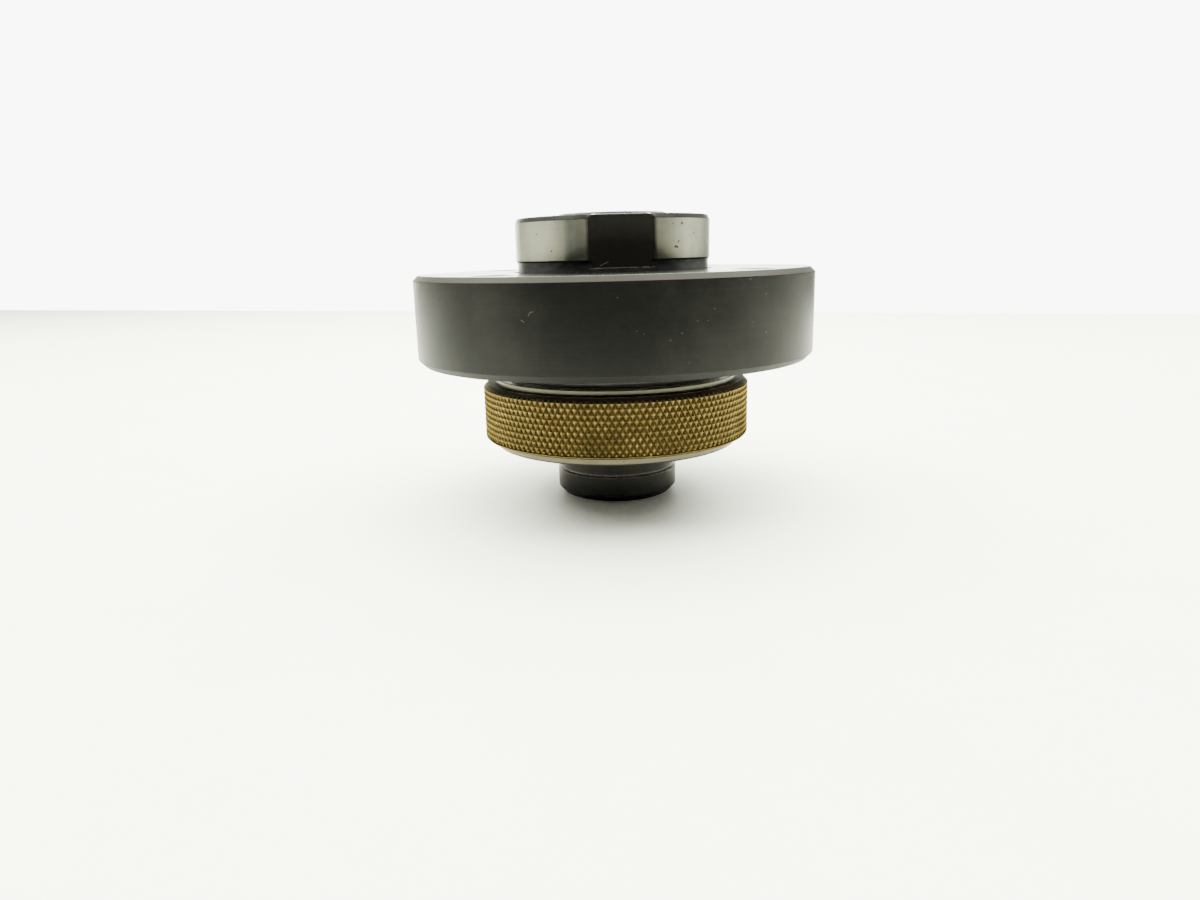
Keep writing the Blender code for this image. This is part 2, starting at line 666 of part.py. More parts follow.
def build_ejector():
    """The sprung plunger that follows the tool shank out of the socket."""
    guide = add_empty("ejector_guide", (0.0, 0.0, plunger_foot), adapter)
    stem_radius = socket_radius - SLIDE_GAP
    head_radius = chamber_radius - SLIDE_GAP
    seat = plunger_seat - plunger_foot
    top = plunger_top - plunger_foot
    outline = [
        (0.0, 0.0),
        (stem_radius - PLUNGER_CHAMFER, 0.0),
        (stem_radius, PLUNGER_CHAMFER),
        (stem_radius, seat),
        (head_radius, seat),
        (head_radius, top),
        (plunger_bore_radius, top),
        (plunger_bore_radius, PLUNGER_FLOOR),
        (0.0, PLUNGER_FLOOR),
    ]
    mesh = turned_mesh("ejector_plunger", outline, PLAIN_SIDES)
    plunger = add_object("ejector_plunger", mesh, parent=guide)
    dress(plunger, ground_steel)
    foot = plunger_foot + PLUNGER_FLOOR + SEAT_GAP
    length = plug_foot + PLUG_SPRING_SEAT - SEAT_GAP - foot
    radius = plunger_bore_radius - SLIDE_GAP - EJECTOR_SPRING_WIRE / 2
    coil_spring(
        "ejector_spring", radius, EJECTOR_SPRING_WIRE, length, EJECTOR_SPRING_TURNS, 10,
        (0.0, 0.0, foot), spring_steel, adapter,
    )


def build_sleeve_spring():
    """The spring between the thrust washer and the ceiling of the flange's recess."""
    length = recess_ceiling - SEAT_GAP - spring_foot
    coil_spring(
        "sleeve_spring", spring_radius, SLEEVE_SPRING_WIRE, length, SLEEVE_SPRING_TURNS, 18,
        (0.0, 0.0, spring_foot), spring_steel, adapter,
    )


def build_rear_plug():
    """The plug over the ejector spring, with a hexagon socket in its head and its seal."""
    top = PLUG_SHANK + PLUG_HEAD_THICKNESS
    seal_low = plug_seal_height - SEAL_CORD / 2 - SEAT_GAP - plug_foot
    seal_high = plug_seal_height + SEAL_CORD / 2 + SEAT_GAP - plug_foot
    outline = [
        (0.0, PLUG_SPRING_SEAT),
        (plunger_bore_radius, PLUG_SPRING_SEAT),
        (plunger_bore_radius, 0.0),
        (plug_shank_radius, 0.0),
        (plug_shank_radius, seal_low),
        (plug_groove_radius, seal_low),
        (plug_groove_radius, seal_high),
        (plug_shank_radius, seal_high),
        (plug_shank_radius, PLUG_SHANK),
        (plug_head_radius, PLUG_SHANK),
        (plug_head_radius, top - PLUG_EDGE),
        (plug_head_radius - PLUG_EDGE, top),
        (0.0, top),
    ]
    mesh = turned_mesh("rear_plug", outline, PLAIN_SIDES)
    plug = add_object("rear_plug", mesh, (0.0, 0.0, plug_foot), adapter)
    overcut = 1.0 * MM
    corner_radius = PLUG_HEX / math.sqrt(3.0)
    corners = [(x, y) for _, _, (x, y, _) in around(6, corner_radius, 0.0)]
    hexagon = extruded_mesh("cut_hexagon", corners, PLUG_HEX_DEPTH + overcut)
    cut(plug, cutter("cut_hexagon", hexagon, (0.0, 0.0, plug_foot + top - PLUG_HEX_DEPTH)))
    dress(plug, black_oxide)

    seal_radius = plug_groove_radius + SEAT_GAP + SEAL_CORD / 2
    seal_mesh = turned_mesh("plug_o_ring", seal_outline(seal_radius, SEAL_CORD), SMALL_SIDES)
    dress(add_object("plug_o_ring", seal_mesh, (0.0, 0.0, plug_seal_height), adapter), seal_rubber)


def build_socket_seal():
    """The wiper ring at the socket's mouth."""
    radius = socket_radius - SOCKET_SEAL_PROUD + SOCKET_SEAL_CORD / 2
    mesh = turned_mesh("socket_o_ring", seal_outline(radius, SOCKET_SEAL_CORD), PLAIN_SIDES)
    return dress(add_object("socket_o_ring", mesh, (0.0, 0.0, SOCKET_SEAL_HEIGHT), adapter), seal_rubber)


flange_body = build_flange_body()
socket_barrel = build_socket_barrel()
build_joint_dowel(flange_body, socket_barrel)
build_drive_pin()
build_stop()
sleeve_carrier = build_sleeve()
build_grip_ring(sleeve_carrier)
build_sleeve_spring()
build_balls()
build_ejector()
build_rear_plug()
build_socket_seal()
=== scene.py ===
"""Looks of a tool holder adapter: flange, pilot, ball lock, knurled grip ring and nose.

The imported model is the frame. Each sub-assembly here turns, cuts and finishes its pieces with
Blender's own operators, at the places that the frame gives, and hands each piece to the body that
it moves with. Lengths are in millimetres, and become metres where a mesh is made.
"""
import json
import logging
import math
from dataclasses import dataclass, field
from enum import Enum
from typing import Any, Callable, Sequence, Union

import bpy
from mathutils import Matrix, Vector

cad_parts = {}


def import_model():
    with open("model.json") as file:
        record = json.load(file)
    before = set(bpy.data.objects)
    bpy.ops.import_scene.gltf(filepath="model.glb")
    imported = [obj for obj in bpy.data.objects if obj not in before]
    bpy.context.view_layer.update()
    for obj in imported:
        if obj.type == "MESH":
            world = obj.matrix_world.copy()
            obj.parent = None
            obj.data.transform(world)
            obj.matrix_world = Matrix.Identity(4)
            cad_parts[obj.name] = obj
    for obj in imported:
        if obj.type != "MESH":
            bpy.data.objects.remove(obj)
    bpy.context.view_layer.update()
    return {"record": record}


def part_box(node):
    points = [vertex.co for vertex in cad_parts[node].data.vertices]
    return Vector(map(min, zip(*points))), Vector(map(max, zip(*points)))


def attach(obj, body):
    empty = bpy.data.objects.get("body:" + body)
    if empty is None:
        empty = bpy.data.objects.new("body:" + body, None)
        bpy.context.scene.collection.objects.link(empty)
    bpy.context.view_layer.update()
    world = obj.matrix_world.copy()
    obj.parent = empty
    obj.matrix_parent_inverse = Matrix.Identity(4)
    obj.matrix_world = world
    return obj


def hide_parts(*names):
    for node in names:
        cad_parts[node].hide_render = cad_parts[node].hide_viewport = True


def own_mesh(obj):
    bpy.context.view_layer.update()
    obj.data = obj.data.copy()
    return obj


# A millimetre in metres, and how near in metres two points become one
MM = 0.001
MERGE = 1e-6
# Steps of one turn of the largest pieces and of the rings, and steps round a seal's cord
ROUND = 256
FINE = 192
CORD_STEPS = 28
# Steps round a spring's wire and along one of its turns, and how far past its ends it is wound
WIRE_STEPS = 20
COIL_STEPS = 56
SPARE = 0.08
# How far a cutter reaches past the faces that it cuts
BEYOND = 1.0
# Room round a set pin, a ball or the circlip, and how near in millimetres a point lies on a face
FIT = 0.3
NEAR = 0.01

Outline = Sequence[tuple[float, float]]
Colour = tuple[float, float, float]
Number = Union[float, "Value"]

log = logging.getLogger("adapter")


class Body(Enum):
    """The bodies that pieces move with."""

    ADAPTER = "adapter"
    CARRIAGE = "thrust_carriage"
    SLEEVE = "sleeve"
    EJECTOR = "ejector"


class Slot(Enum):
    """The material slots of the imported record."""

    BLACK_OXIDE = "black_oxide"
    GROUND_STEEL = "ground_steel"
    BRIGHT_STEEL = "bright_steel"
    AGED_BRASS = "aged_brass"
    BALL_STEEL = "ball_steel"
    SPRING_STEEL = "spring_steel"
    SEAL_RUBBER = "seal_rubber"


@dataclass(frozen=True)
class Reach:
    """Foot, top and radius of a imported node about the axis."""

    foot: float
    top: float
    radius: float

    @classmethod
    def of(cls, node: str) -> "Reach":
        """Measure a node of the frame.

        Args:
            node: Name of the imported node.

        Returns:
            Its foot, its top and its radius about the axis.
        """
        low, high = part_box(node)
        return cls(low.z / MM, high.z / MM, high.x / MM)


class Bench:
    """Shapes meshes with Blender's modelling operators, as by hand."""

    @staticmethod
    def clear() -> None:
        """Leave edit mode and let go of everything."""
        active = bpy.context.view_layer.objects.active
        if active is not None and active.mode != "OBJECT":
            bpy.ops.object.mode_set(mode="OBJECT")
        bpy.ops.object.select_all(action="DESELECT")

    @staticmethod
    def hold(piece: bpy.types.Object) -> None:
        """Select one piece alone and make it active."""
        Bench.clear()
        piece.select_set(True)
        bpy.context.view_layer.objects.active = piece

    @staticmethod
    def edit(piece: bpy.types.Object, mode: str = "VERT") -> None:
        """Open a piece for editing with everything in it selected."""
        Bench.hold(piece)
        bpy.ops.object.mode_set(mode="EDIT")
        bpy.ops.mesh.select_mode(type=mode)
        bpy.ops.mesh.select_all(action="SELECT")

    @staticmethod
    def named(name: str) -> bpy.types.Object:
        """Name the primitive that was just added, and its mesh."""
        piece = bpy.context.object
        piece.name = name
        piece.data.name = name
        return piece

    @staticmethod
    def pick(piece: bpy.types.Object, mode: str, chosen: Callable[[Any], bool]) -> None:
        """Select the points or edges that pass a test, and leave the piece in edit mode.

        Args:
            piece: The piece, whose selection is replaced.
            mode: VERT or EDGE.
            chosen: Takes a point or an edge of the mesh and says whether it is picked.
        """
        Bench.edit(piece, mode)
        bpy.ops.mesh.select_all(action="DESELECT")
        bpy.ops.object.mode_set(mode="OBJECT")
        for item in piece.data.vertices if mode == "VERT" else piece.data.edges:
            item.select = chosen(item)
        bpy.ops.object.mode_set(mode="EDIT")

    @staticmethod
    def close_up() -> None:
        """Turn all faces of the piece in edit mode outwards, and leave edit mode."""
        bpy.ops.mesh.select_all(action="SELECT")
        bpy.ops.mesh.normals_make_consistent(inside=False)
        Bench.clear()

    @staticmethod
    def turned(name: str, outline: Outline, sides: int = ROUND) -> bpy.types.Object:
        """Turn an outline about the axis.

        Args:
            name: Name of the piece.
            outline: Points of (radius, height). An outline that starts and ends on the axis makes a
                solid of its own, and any other is closed back to its first point.
            sides: Steps of one turn.

        Returns:
            The turned piece, closed and with its faces outwards.
        """
        points = [Vector((radius, 0.0, height)) * MM for radius, height in outline]
        if outline[0][0] > 0.0:
            points.append(points[0].copy())
        Bench.clear()
        bpy.ops.mesh.primitive_plane_add(size=MM)
        piece = Bench.named(name)
        Bench.edit(piece)
        bpy.ops.mesh.merge(type="CENTER")
        bpy.ops.transform.translate(value=points[0])
        for here, there in zip(points, points[1:]):
            bpy.ops.mesh.extrude_region_move(TRANSFORM_OT_translate={"value": there - here})
        bpy.ops.mesh.select_all(action="SELECT")
        bpy.ops.mesh.remove_doubles(threshold=MERGE)
        bpy.ops.mesh.spin(steps=sides, angle=math.tau, center=(0, 0, 0), axis=(0, 0, 1))
        bpy.ops.mesh.select_all(action="SELECT")
        bpy.ops.mesh.remove_doubles(threshold=MERGE)
        Bench.close_up()
        return piece

    @staticmethod
    def extruded(
        name: str, sides: int, radius: float, foot: float, top: float, turn: float = 0.0
    ) -> bpy.types.Object:
        """Extrude a regular polygon up from its foot.

        Args:
            name: Name of the piece.
            sides: Number of corners.
            radius: Radius of the corners.
            foot: Height of its foot.
            top: Height of its top.
            turn: Angle that it is turned by, in radians.

        Returns:
            The closed prism.
        """
        Bench.clear()
        bpy.ops.mesh.primitive_circle_add(
            vertices=sides, radius=radius * MM, fill_type="NGON", location=(0, 0, foot * MM),
            rotation=(0, 0, turn),
        )
        piece = Bench.named(name)
        Bench.settle(piece)
        Bench.edit(piece, "FACE")
        bpy.ops.mesh.extrude_region_move(TRANSFORM_OT_translate={"value": (0, 0, (top - foot) * MM)})
        Bench.close_up()
        return piece

    @staticmethod
    def settle(piece: bpy.types.Object) -> None:
        """Put a piece's place and turn into its mesh, so that its object sits at the origin."""
        Bench.hold(piece)
        bpy.ops.object.transform_apply(location=True, rotation=True, scale=True)

    @staticmethod
    def put(piece: bpy.types.Object, place: Matrix) -> bpy.types.Object:
        """Move a piece and settle it there."""
        piece.matrix_world = place
        Bench.settle(piece)
        return piece

    @staticmethod
    def copy(piece: bpy.types.Object, name: str) -> bpy.types.Object:
        """Copy a piece with a mesh of its own."""
        twin = piece.copy()
        twin.data = piece.data.copy()
        twin.name = name
        twin.data.name = name
        bpy.context.scene.collection.objects.link(twin)
        return twin

    @staticmethod
    def apply(piece: bpy.types.Object, kind: str, **settings: Any) -> None:
        """Add a modifier with its settings and apply it."""
        Bench.hold(piece)
        modifier = piece.modifiers.new(kind.title(), kind)
        for key, value in settings.items():
            setattr(modifier, key, value)
        bpy.ops.object.modifier_apply(modifier=modifier.name)

    @staticmethod
    def break_edges(piece: bpy.types.Object, width: float) -> None:
        """Round every edge that turns by more than 24 degrees."""
        Bench.apply(
            piece, "BEVEL", width=width * MM, segments=2, limit_method="ANGLE",
            angle_limit=math.radians(24.0), harden_normals=False,
        )

    @staticmethod
    def combine(piece: bpy.types.Object, tool: bpy.types.Object, operation: str = "DIFFERENCE") -> None:
        """Cut or join with a tool piece, which is used up."""
        Bench.apply(piece, "BOOLEAN", object=tool, operation=operation, solver="EXACT")
        bpy.data.objects.remove(tool, do_unlink=True)

    @staticmethod
    def cut_round(
        piece: bpy.types.Object, tool: bpy.types.Object, count: int, start: float, place: Matrix
    ) -> None:
        """Cut with copies of a tool, spread evenly about the axis. The tool is used up.

        Args:
            piece: The piece that is cut.
            tool: The pattern of the cutter.
            count: How many cuts.
            start: Bearing of the first cut, in radians.
            place: Place of the cutter before it is turned about the axis.
        """
        for number in range(count):
            turn = Matrix.Rotation(start + math.tau * number / count, 4, "Z")
            Bench.combine(piece, Bench.put(Bench.copy(tool, f"{tool.name}_{number}"), turn @ place))
        bpy.data.objects.remove(tool, do_unlink=True)

    @staticmethod
    def smooth(piece: bpy.types.Object, angle: float) -> None:
        """Shade smooth between the sharp edges, with broad faces kept flat."""
        Bench.hold(piece)
        bpy.ops.object.shade_smooth_by_angle(angle=math.radians(angle))
        Bench.apply(piece, "WEIGHTED_NORMAL", keep_sharp=True, weight=60)

    @staticmethod
    def hand_over(
        piece: bpy.types.Object, body: str, finish: "Finish", node: str, edge: float = 0.0,
        angle: float = 32.0,
    ) -> None:
        """Break a piece's edges, shade it, dress it and give it to its body.

        Args:
            piece: The finished piece.
            body: Name of the body that it moves with.
            finish: Finish of the whole piece.
            node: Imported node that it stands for.
            edge: Width of its broken edges, or 0 where they are broken already.
            angle: Edges that turn by more degrees than this stay sharp.
        """
        if edge > 0.0:
            Bench.break_edges(piece, edge)
        Bench.smooth(piece, angle)
        piece.data.materials.clear()
        piece.data.materials.append(finish.material())
        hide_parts(node)
        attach(piece, body)
        triangles = sum(len(face.vertices) - 2 for face in piece.data.polygons)
        log.info("%s rides on %s, %d triangles, %s", piece.name, body, triangles, finish.title)


def rod(radius: float, foot: float, top: float, chamfer: float) -> Outline:
    """Outline of a round rod with chamfered ends."""
    return [
        (0.0, foot), (radius - chamfer, foot), (radius, foot + chamfer),
        (radius, top - chamfer), (radius - chamfer, top), (0.0, top),
    ]


def dowel_rod(name: str, room: float, top: float, chamfer: float) -> bpy.types.Object:
    """Turn a rod in the place of the dowel in the joint.

    Args:
        name: Name of the rod.
        room: How much larger than the dowel it is all round.
        top: Height of its top.
        chamfer: Chamfer of its ends.

    Returns:
        The rod.
    """
    low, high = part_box("joint_dowel")
    reach = Reach.of("joint_dowel")
    made = Bench.turned(name, rod(reach.radius + room, reach.foot - room, top, chamfer), sides=48)
    return Bench.put(made, Matrix.Translation((0.0, (low.y + high.y) / 2, 0.0)))


def fit_seal(node: str, name: str, body: Body, sides: int = FINE) -> None:
    """Turn a rubber ring of round section at the place of its node.

    Args:
        node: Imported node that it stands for.
        name: Name of the piece.
        body: Body that it moves with.
        sides: Steps of one turn.
    """
    low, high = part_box(node)
    thick = (high.z - low.z) / 2 / MM
    radius = high.x / MM - thick
    height = (low.z + high.z) / 2 / MM
    turns = [math.tau * step / CORD_STEPS for step in range(CORD_STEPS)]
    outline = [(radius + thick * math.cos(turn), height + thick * math.sin(turn)) for turn in turns]
    Bench.hand_over(Bench.turned(name, outline, sides), body.value, RUBBER, node)


def fit_washer(node: str, name: str, body: Body, bore: float) -> None:
    """Turn a flat washer at the place of its node.

    Args:
        node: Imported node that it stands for.
        name: Name of the piece.
        body: Body that it moves with.
        bore: Radius of its hole.
    """
    reach = Reach.of(node)
    outline = [(bore, reach.foot), (reach.radius, reach.foot), (reach.radius, reach.top), (bore, reach.top)]
    Bench.hand_over(Bench.turned(name, outline, FINE), body.value, SPRING, node, edge=0.18)


class Value:
    """A number in a shader, which sums are written with as in Python."""

    def __init__(self, graph: "Graph", socket: bpy.types.NodeSocket) -> None:
        """Wrap a socket of a graph."""
        self.graph = graph
        self.socket = socket

    def __add__(self, other: Number) -> "Value":
        """Sum."""
        return self.graph.maths("ADD", self, other)

    __radd__ = __add__

    def __sub__(self, other: Number) -> "Value":
        """Difference."""
        return self.graph.maths("SUBTRACT", self, other)

    def __rsub__(self, other: Number) -> "Value":
        """Difference from a plain number."""
        return self.graph.maths("SUBTRACT", other, self)

    def __mul__(self, other: Number) -> "Value":
        """Product."""
        return self.graph.maths("MULTIPLY", self, other)

    __rmul__ = __mul__

    def __truediv__(self, other: Number) -> "Value":
        """Quotient."""
        return self.graph.maths("DIVIDE", self, other)

    def __pow__(self, other: Number) -> "Value":
        """Power."""
        return self.graph.maths("POWER", self, other)

    def __abs__(self) -> "Value":
        """Size without its sign."""
        return self.graph.maths("ABSOLUTE", self)

    def root(self) -> "Value":
        """Square root."""
        return self.graph.maths("SQRT", self)

    def most(self, other: Number) -> "Value":
        """The larger of two."""
        return self.graph.maths("MAXIMUM", self, other)

    def least(self, other: Number) -> "Value":
        """The smaller of two."""
        return self.graph.maths("MINIMUM", self, other)

    def rise(self, low: float, high: float) -> "Value":
        """Smooth step from 0 at low to 1 at high."""
        node = self.graph.node(
            "ShaderNodeMapRange", {"interpolation_type": "SMOOTHSTEP"},
            {"Value": self, "From Min": low, "From Max": high, "To Min": 0.0, "To Max": 1.0},
        )
        return Value(self.graph, node.outputs["Result"])

    def fall(self, low: float, high: float) -> "Value":
        """Smooth step from 1 at low to 0 at high."""
        return 1.0 - self.rise(low, high)

    def within(self, low: float, high: float, blur: float) -> "Value":
        """1 between two limits, with blurred ends."""
        return self.rise(low - blur, low + blur) * self.fall(high - blur, high + blur)


def feed(tree: bpy.types.NodeTree, socket: bpy.types.NodeSocket, value: Any) -> None:
    """Link or set one input socket in a node tree."""
    if isinstance(value, Value):
        value = value.socket
    if isinstance(value, bpy.types.NodeSocket):
        tree.links.new(value, socket)
    elif isinstance(value, tuple) and socket.type == "RGBA":
        socket.default_value = (*value, 1.0)
    else:
        socket.default_value = value


def add_node(
    tree: bpy.types.NodeTree, kind: str, settings: dict[str, Any] | None = None,
    inputs: dict[Any, Any] | None = None,
) -> bpy.types.Node:
    """Add a node to a node tree.

    Args:
        tree: The node tree.
        kind: The node's type.
        settings: Its properties, set first.
        inputs: Values or links of its sockets, by name or number.

    Returns:
        The new node.
    """
    made = tree.nodes.new(kind)
    for key, value in (settings or {}).items():
        setattr(made, key, value)
    for key, value in (inputs or {}).items():
        feed(tree, made.inputs[key], value)
    return made


class Graph:
    """Node tree of one material, read in millimetres about the adapter's axis."""

    def __init__(self, name: str) -> None:
        """Start a material with a Principled surface.

        Args:
            name: Name of the material.
        """
        self.material = bpy.data.materials.new(name)
        self.material.use_nodes = True
        self.tree = self.material.node_tree
        self.tree.nodes.clear()
        self.surface = self.node("ShaderNodeBsdfPrincipled")
        self.node("ShaderNodeOutputMaterial", None, {"Surface": self.surface.outputs["BSDF"]})
        place = self.node("ShaderNodeTexCoord").outputs["Object"]
        scaled = self.node("ShaderNodeVectorMath", {"operation": "SCALE"}, {0: place, "Scale": 1.0 / MM})
        self.point = scaled.outputs[0]
        parts = self.node("ShaderNodeSeparateXYZ", None, {0: self.point})
        self.x, self.y, self.z = (Value(self, socket) for socket in parts.outputs)
        self.radius = (self.x * self.x + self.y * self.y).root()
        self.angle = self.maths("ARCTAN2", self.y, self.x)

    def node(
        self, kind: str, settings: dict[str, Any] | None = None, inputs: dict[Any, Any] | None = None
    ) -> bpy.types.Node:
        """Add a node to the material, as add_node does."""
        return add_node(self.tree, kind, settings, inputs)

    def feed(self, socket: bpy.types.NodeSocket, value: Any) -> None:
        """Link or set one input socket."""
        feed(self.tree, socket, value)

    def maths(self, operation: str, *terms: Number) -> Value:
        """Add one Math node."""
        made = self.node("ShaderNodeMath", {"operation": operation}, dict(enumerate(terms)))
        return Value(self, made.outputs[0])

    def paint(self, colour: Any = None, rough: Any = None, metal: Any = None) -> None:
        """Feed the surface's colour, roughness and metal, as far as they are given."""
        for name, value in (("Base Color", colour), ("Roughness", rough), ("Metallic", metal)):
            if value is not None:
                self.feed(self.surface.inputs[name], value)

    def painted(self, name: str) -> bpy.types.NodeSocket:
        """What feeds one of the surface's sockets so far."""
        return self.surface.inputs[name].links[0].from_socket

    def vector(self, x: Number, y: Number, z: Number) -> bpy.types.NodeSocket:
        """Join three numbers into a vector."""
        return self.node("ShaderNodeCombineXYZ", None, {0: x, 1: y, 2: z}).outputs[0]

    def noise(
        self, where: Any, scale: float, detail: float = 3.0, rough: float = 0.5, twist: float = 0.0
    ) -> Value:
        """Cloudy noise from 0 to 1.

        Args:
            where: Vector in millimetres.
            scale: Features per millimetre.
            detail: Number of finer layers.
            rough: Strength of the finer layers.
            twist: Distortion.

        Returns:
            The noise value, which stays near 0.5 most of the time.
        """
        made = self.node("ShaderNodeTexNoise", None, {
            "Vector": where, "Scale": scale, "Detail": detail, "Roughness": rough, "Distortion": twist,
        })
        return Value(self, made.outputs[0])

    def specks(self, where: Any, scale: float, size: float, share: float) -> Value:
        """Scattered round specks.

        Args:
            where: Vector in millimetres.
            scale: Cells per millimetre.
            size: Radius of a speck, as a share of its cell.
            share: Share of the cells that hold a speck.

        Returns:
            1 on a speck and 0 elsewhere.
        """
        cells = self.node("ShaderNodeTexVoronoi", {"feature": "F1"}, {"Vector": where, "Scale": scale})
        shade = self.node("ShaderNodeSeparateColor", None, {0: cells.outputs["Color"]})
        chance = Value(self, shade.outputs[0])
        distance = Value(self, cells.outputs["Distance"])
        return distance.fall(size * 0.5, size) * chance.fall(share - 0.01, share + 0.01)

    def mix(self, share: Number, first: Any, second: Any) -> bpy.types.NodeSocket:
        """Blend two colours: the second shows where the share is 1."""
        made = self.node("ShaderNodeMix", {"data_type": "RGBA"}, {0: share, 6: first, 7: second})
        return made.outputs[2]

    def blend(self, share: Number, first: Number, second: Number) -> Value:
        """Blend two numbers: the second shows where the share is 1."""
        return self.maths("ADD", self.maths("MULTIPLY", 1.0 - share, first), share * second)

    def bump(self, height: Value, depth: float) -> None:
        """Raise the surface by a height from 0 to 1 times a depth in millimetres."""
        inputs = {"Height": height, "Distance": depth * MM, "Strength": 1.0}
        self.feed(self.surface.inputs["Normal"], self.node("ShaderNodeBump", None, inputs).outputs[0])

    def lathe_marks(self, pitch: float) -> Value:
        """Fine rings that a turning or grinding tool leaves, on walls and faces alike."""
        rings = self.vector(self.radius / pitch, self.z / pitch, self.angle * 0.6)
        return self.noise(rings, 1.0, 2.0, 0.7)

    def ridge(self, first: Value, second: Value, width: float) -> Value:
        """A line where two distances are both nothing, with blurred sides."""
        return (first * first + second * second).root().fall(width * 0.35, width)

    def edge(self, radius: float, height: float, width: float) -> Value:
        """A line round the axis at one radius and height, broken up by wear."""
        wear = self.noise(self.point, 0.35, 4.0, 0.6)
        return self.ridge(self.radius - radius, self.z - height, width) * wear.rise(0.30, 0.62)

    def dash(self, across: Value, up: Value, start: Vector, end: Vector, width: float) -> Value:
        """A straight scratch in two lengths of a surface.

        Args:
            across: Length across the surface.
            up: Length up the surface.
            start: Where the scratch starts in the two lengths.
            end: Where it ends.
            width: Width of the scratch.

        Returns:
            1 in the scratch and 0 elsewhere.
        """
        along = end - start
        right = across - start.x
        rise = up - start.y
        share = ((right * along.x + rise * along.y) / along.length_squared).most(0.0).least(1.0)
        gap = ((right - share * along.x) ** 2.0 + (rise - share * along.y) ** 2.0).root()
        return gap.fall(width * 0.3, width)

    def stroke(
        self, radius: float, start: tuple[float, float], end: tuple[float, float], width: float
    ) -> Value:
        """A scratch on a round wall.

        Args:
            radius: Radius of the wall.
            start: Bearing in degrees and height of its start.
            end: Bearing in degrees and height of its end.
            width: Width of the scratch.

        Returns:
            1 in the scratch and 0 elsewhere.
        """
        first = Vector((math.radians(start[0]) * radius, start[1]))
        last = Vector((math.radians(end[0]) * radius, end[1]))
        wall = abs(self.radius - radius).fall(0.3, 0.5)
        return self.dash(self.angle * radius, self.z, first, last, width) * wall

    def spot(self, radius: float, bearing: float, height: float, size: float) -> Value:
        """A ragged round stain on a round wall, by its bearing in degrees and its height."""
        across = self.angle * radius - math.radians(bearing) * radius
        up = self.z - height
        ragged = self.noise(self.point, 2.2, 3.0) * size - size * 0.5
        return ((across * across + up * up).root() + ragged).fall(size * 0.4, size)

    def spots(self, start: Value, radius: float, marks: Sequence[tuple[float, float, float]]) -> Value:
        """Lay stains over a mask.

        Args:
            start: The mask without them.
            radius: Radius of the round wall that they lie on.
            marks: Bearing in degrees, height and size of each.

        Returns:
            The mask with them.
        """
        for bearing, height, size in marks:
            start = start.most(self.spot(radius, bearing, height, size))
        return start


@dataclass(frozen=True)
class Finish:
    """A finish: its title, its slot in the record and its middle values."""

    title: str
    slot: Slot
    colour: Colour
    metal: float
    rough: float

    def material(self) -> bpy.types.Material:
        """Make the material, or give the one that was made before."""
        made = bpy.data.materials.get(self.title)
        if made is None:
            graph = Graph(self.title)
            graph.paint(self.colour, self.rough, self.metal)
            self.dress(graph)
            made = graph.material
            made.diffuse_color = (*self.colour, 1.0)
        return made

    def dress(self, graph: Graph) -> None:
        """Add what varies over the surface."""


@dataclass(frozen=True)
class BlackOxide(Finish):
    """Satin black oxide over turned steel, with a mossy bloom, fine rings, specks and worn edges."""

    bloom: Colour = (0.021, 0.021, 0.0195)
    worn: Colour = (0.16, 0.16, 0.15)
    rust: Colour = (0.012, 0.0042, 0.0034)
    grazing: Colour = (0.70, 0.70, 0.69)
    edges: tuple[tuple[float, float], ...] = ()
    seams: tuple[tuple[float, float], ...] = ()
    ring_pitch: float = 0.28

    def wear(self, graph: Graph) -> Value:
        """Where the oxide is rubbed through: along the edges and on a few fine specks."""
        worn = graph.specks(graph.point, 0.75, 0.10, 0.045) * 0.26
        for radius, height in self.edges:
            worn = worn.most(graph.edge(radius, height, 0.14) * 0.30)
        return worn

    def dress(self, graph: Graph) -> None:
        """Add the bloom, the rings, the wear and the rust."""
        graph.feed(graph.surface.inputs["Specular Tint"], self.grazing)
        rings = graph.lathe_marks(self.ring_pitch)
        cloud = graph.noise(graph.point, 0.05, 4.0, 0.55, 0.3)
        grain = graph.noise(graph.point, 3.4, 3.0, 0.6)
        bloom = cloud.rise(0.38, 0.70) * 0.40 + grain.rise(0.50, 0.78) * 0.22 + rings.rise(0.45, 0.8) * 0.14
        worn = self.wear(graph)
        patchy = graph.noise(graph.point, 1.7).rise(0.4, 0.6)
        rust = graph.specks(graph.point, 0.42, 0.10, 0.10) * patchy * 0.7
        for radius, height in self.seams:
            rust = rust.most(graph.ridge(graph.radius - radius, graph.z - height, 0.20))
        colour = graph.mix(bloom, self.colour, self.bloom)
        colour = graph.mix(rust, colour, self.rust)
        rough = graph.blend(worn, self.rough + grain * 0.12 + bloom * 0.06 - 0.06, 0.32)
        graph.paint(graph.mix(worn, colour, self.worn), rough)
        graph.bump(rings * 0.6 + grain * 0.4, 0.004)


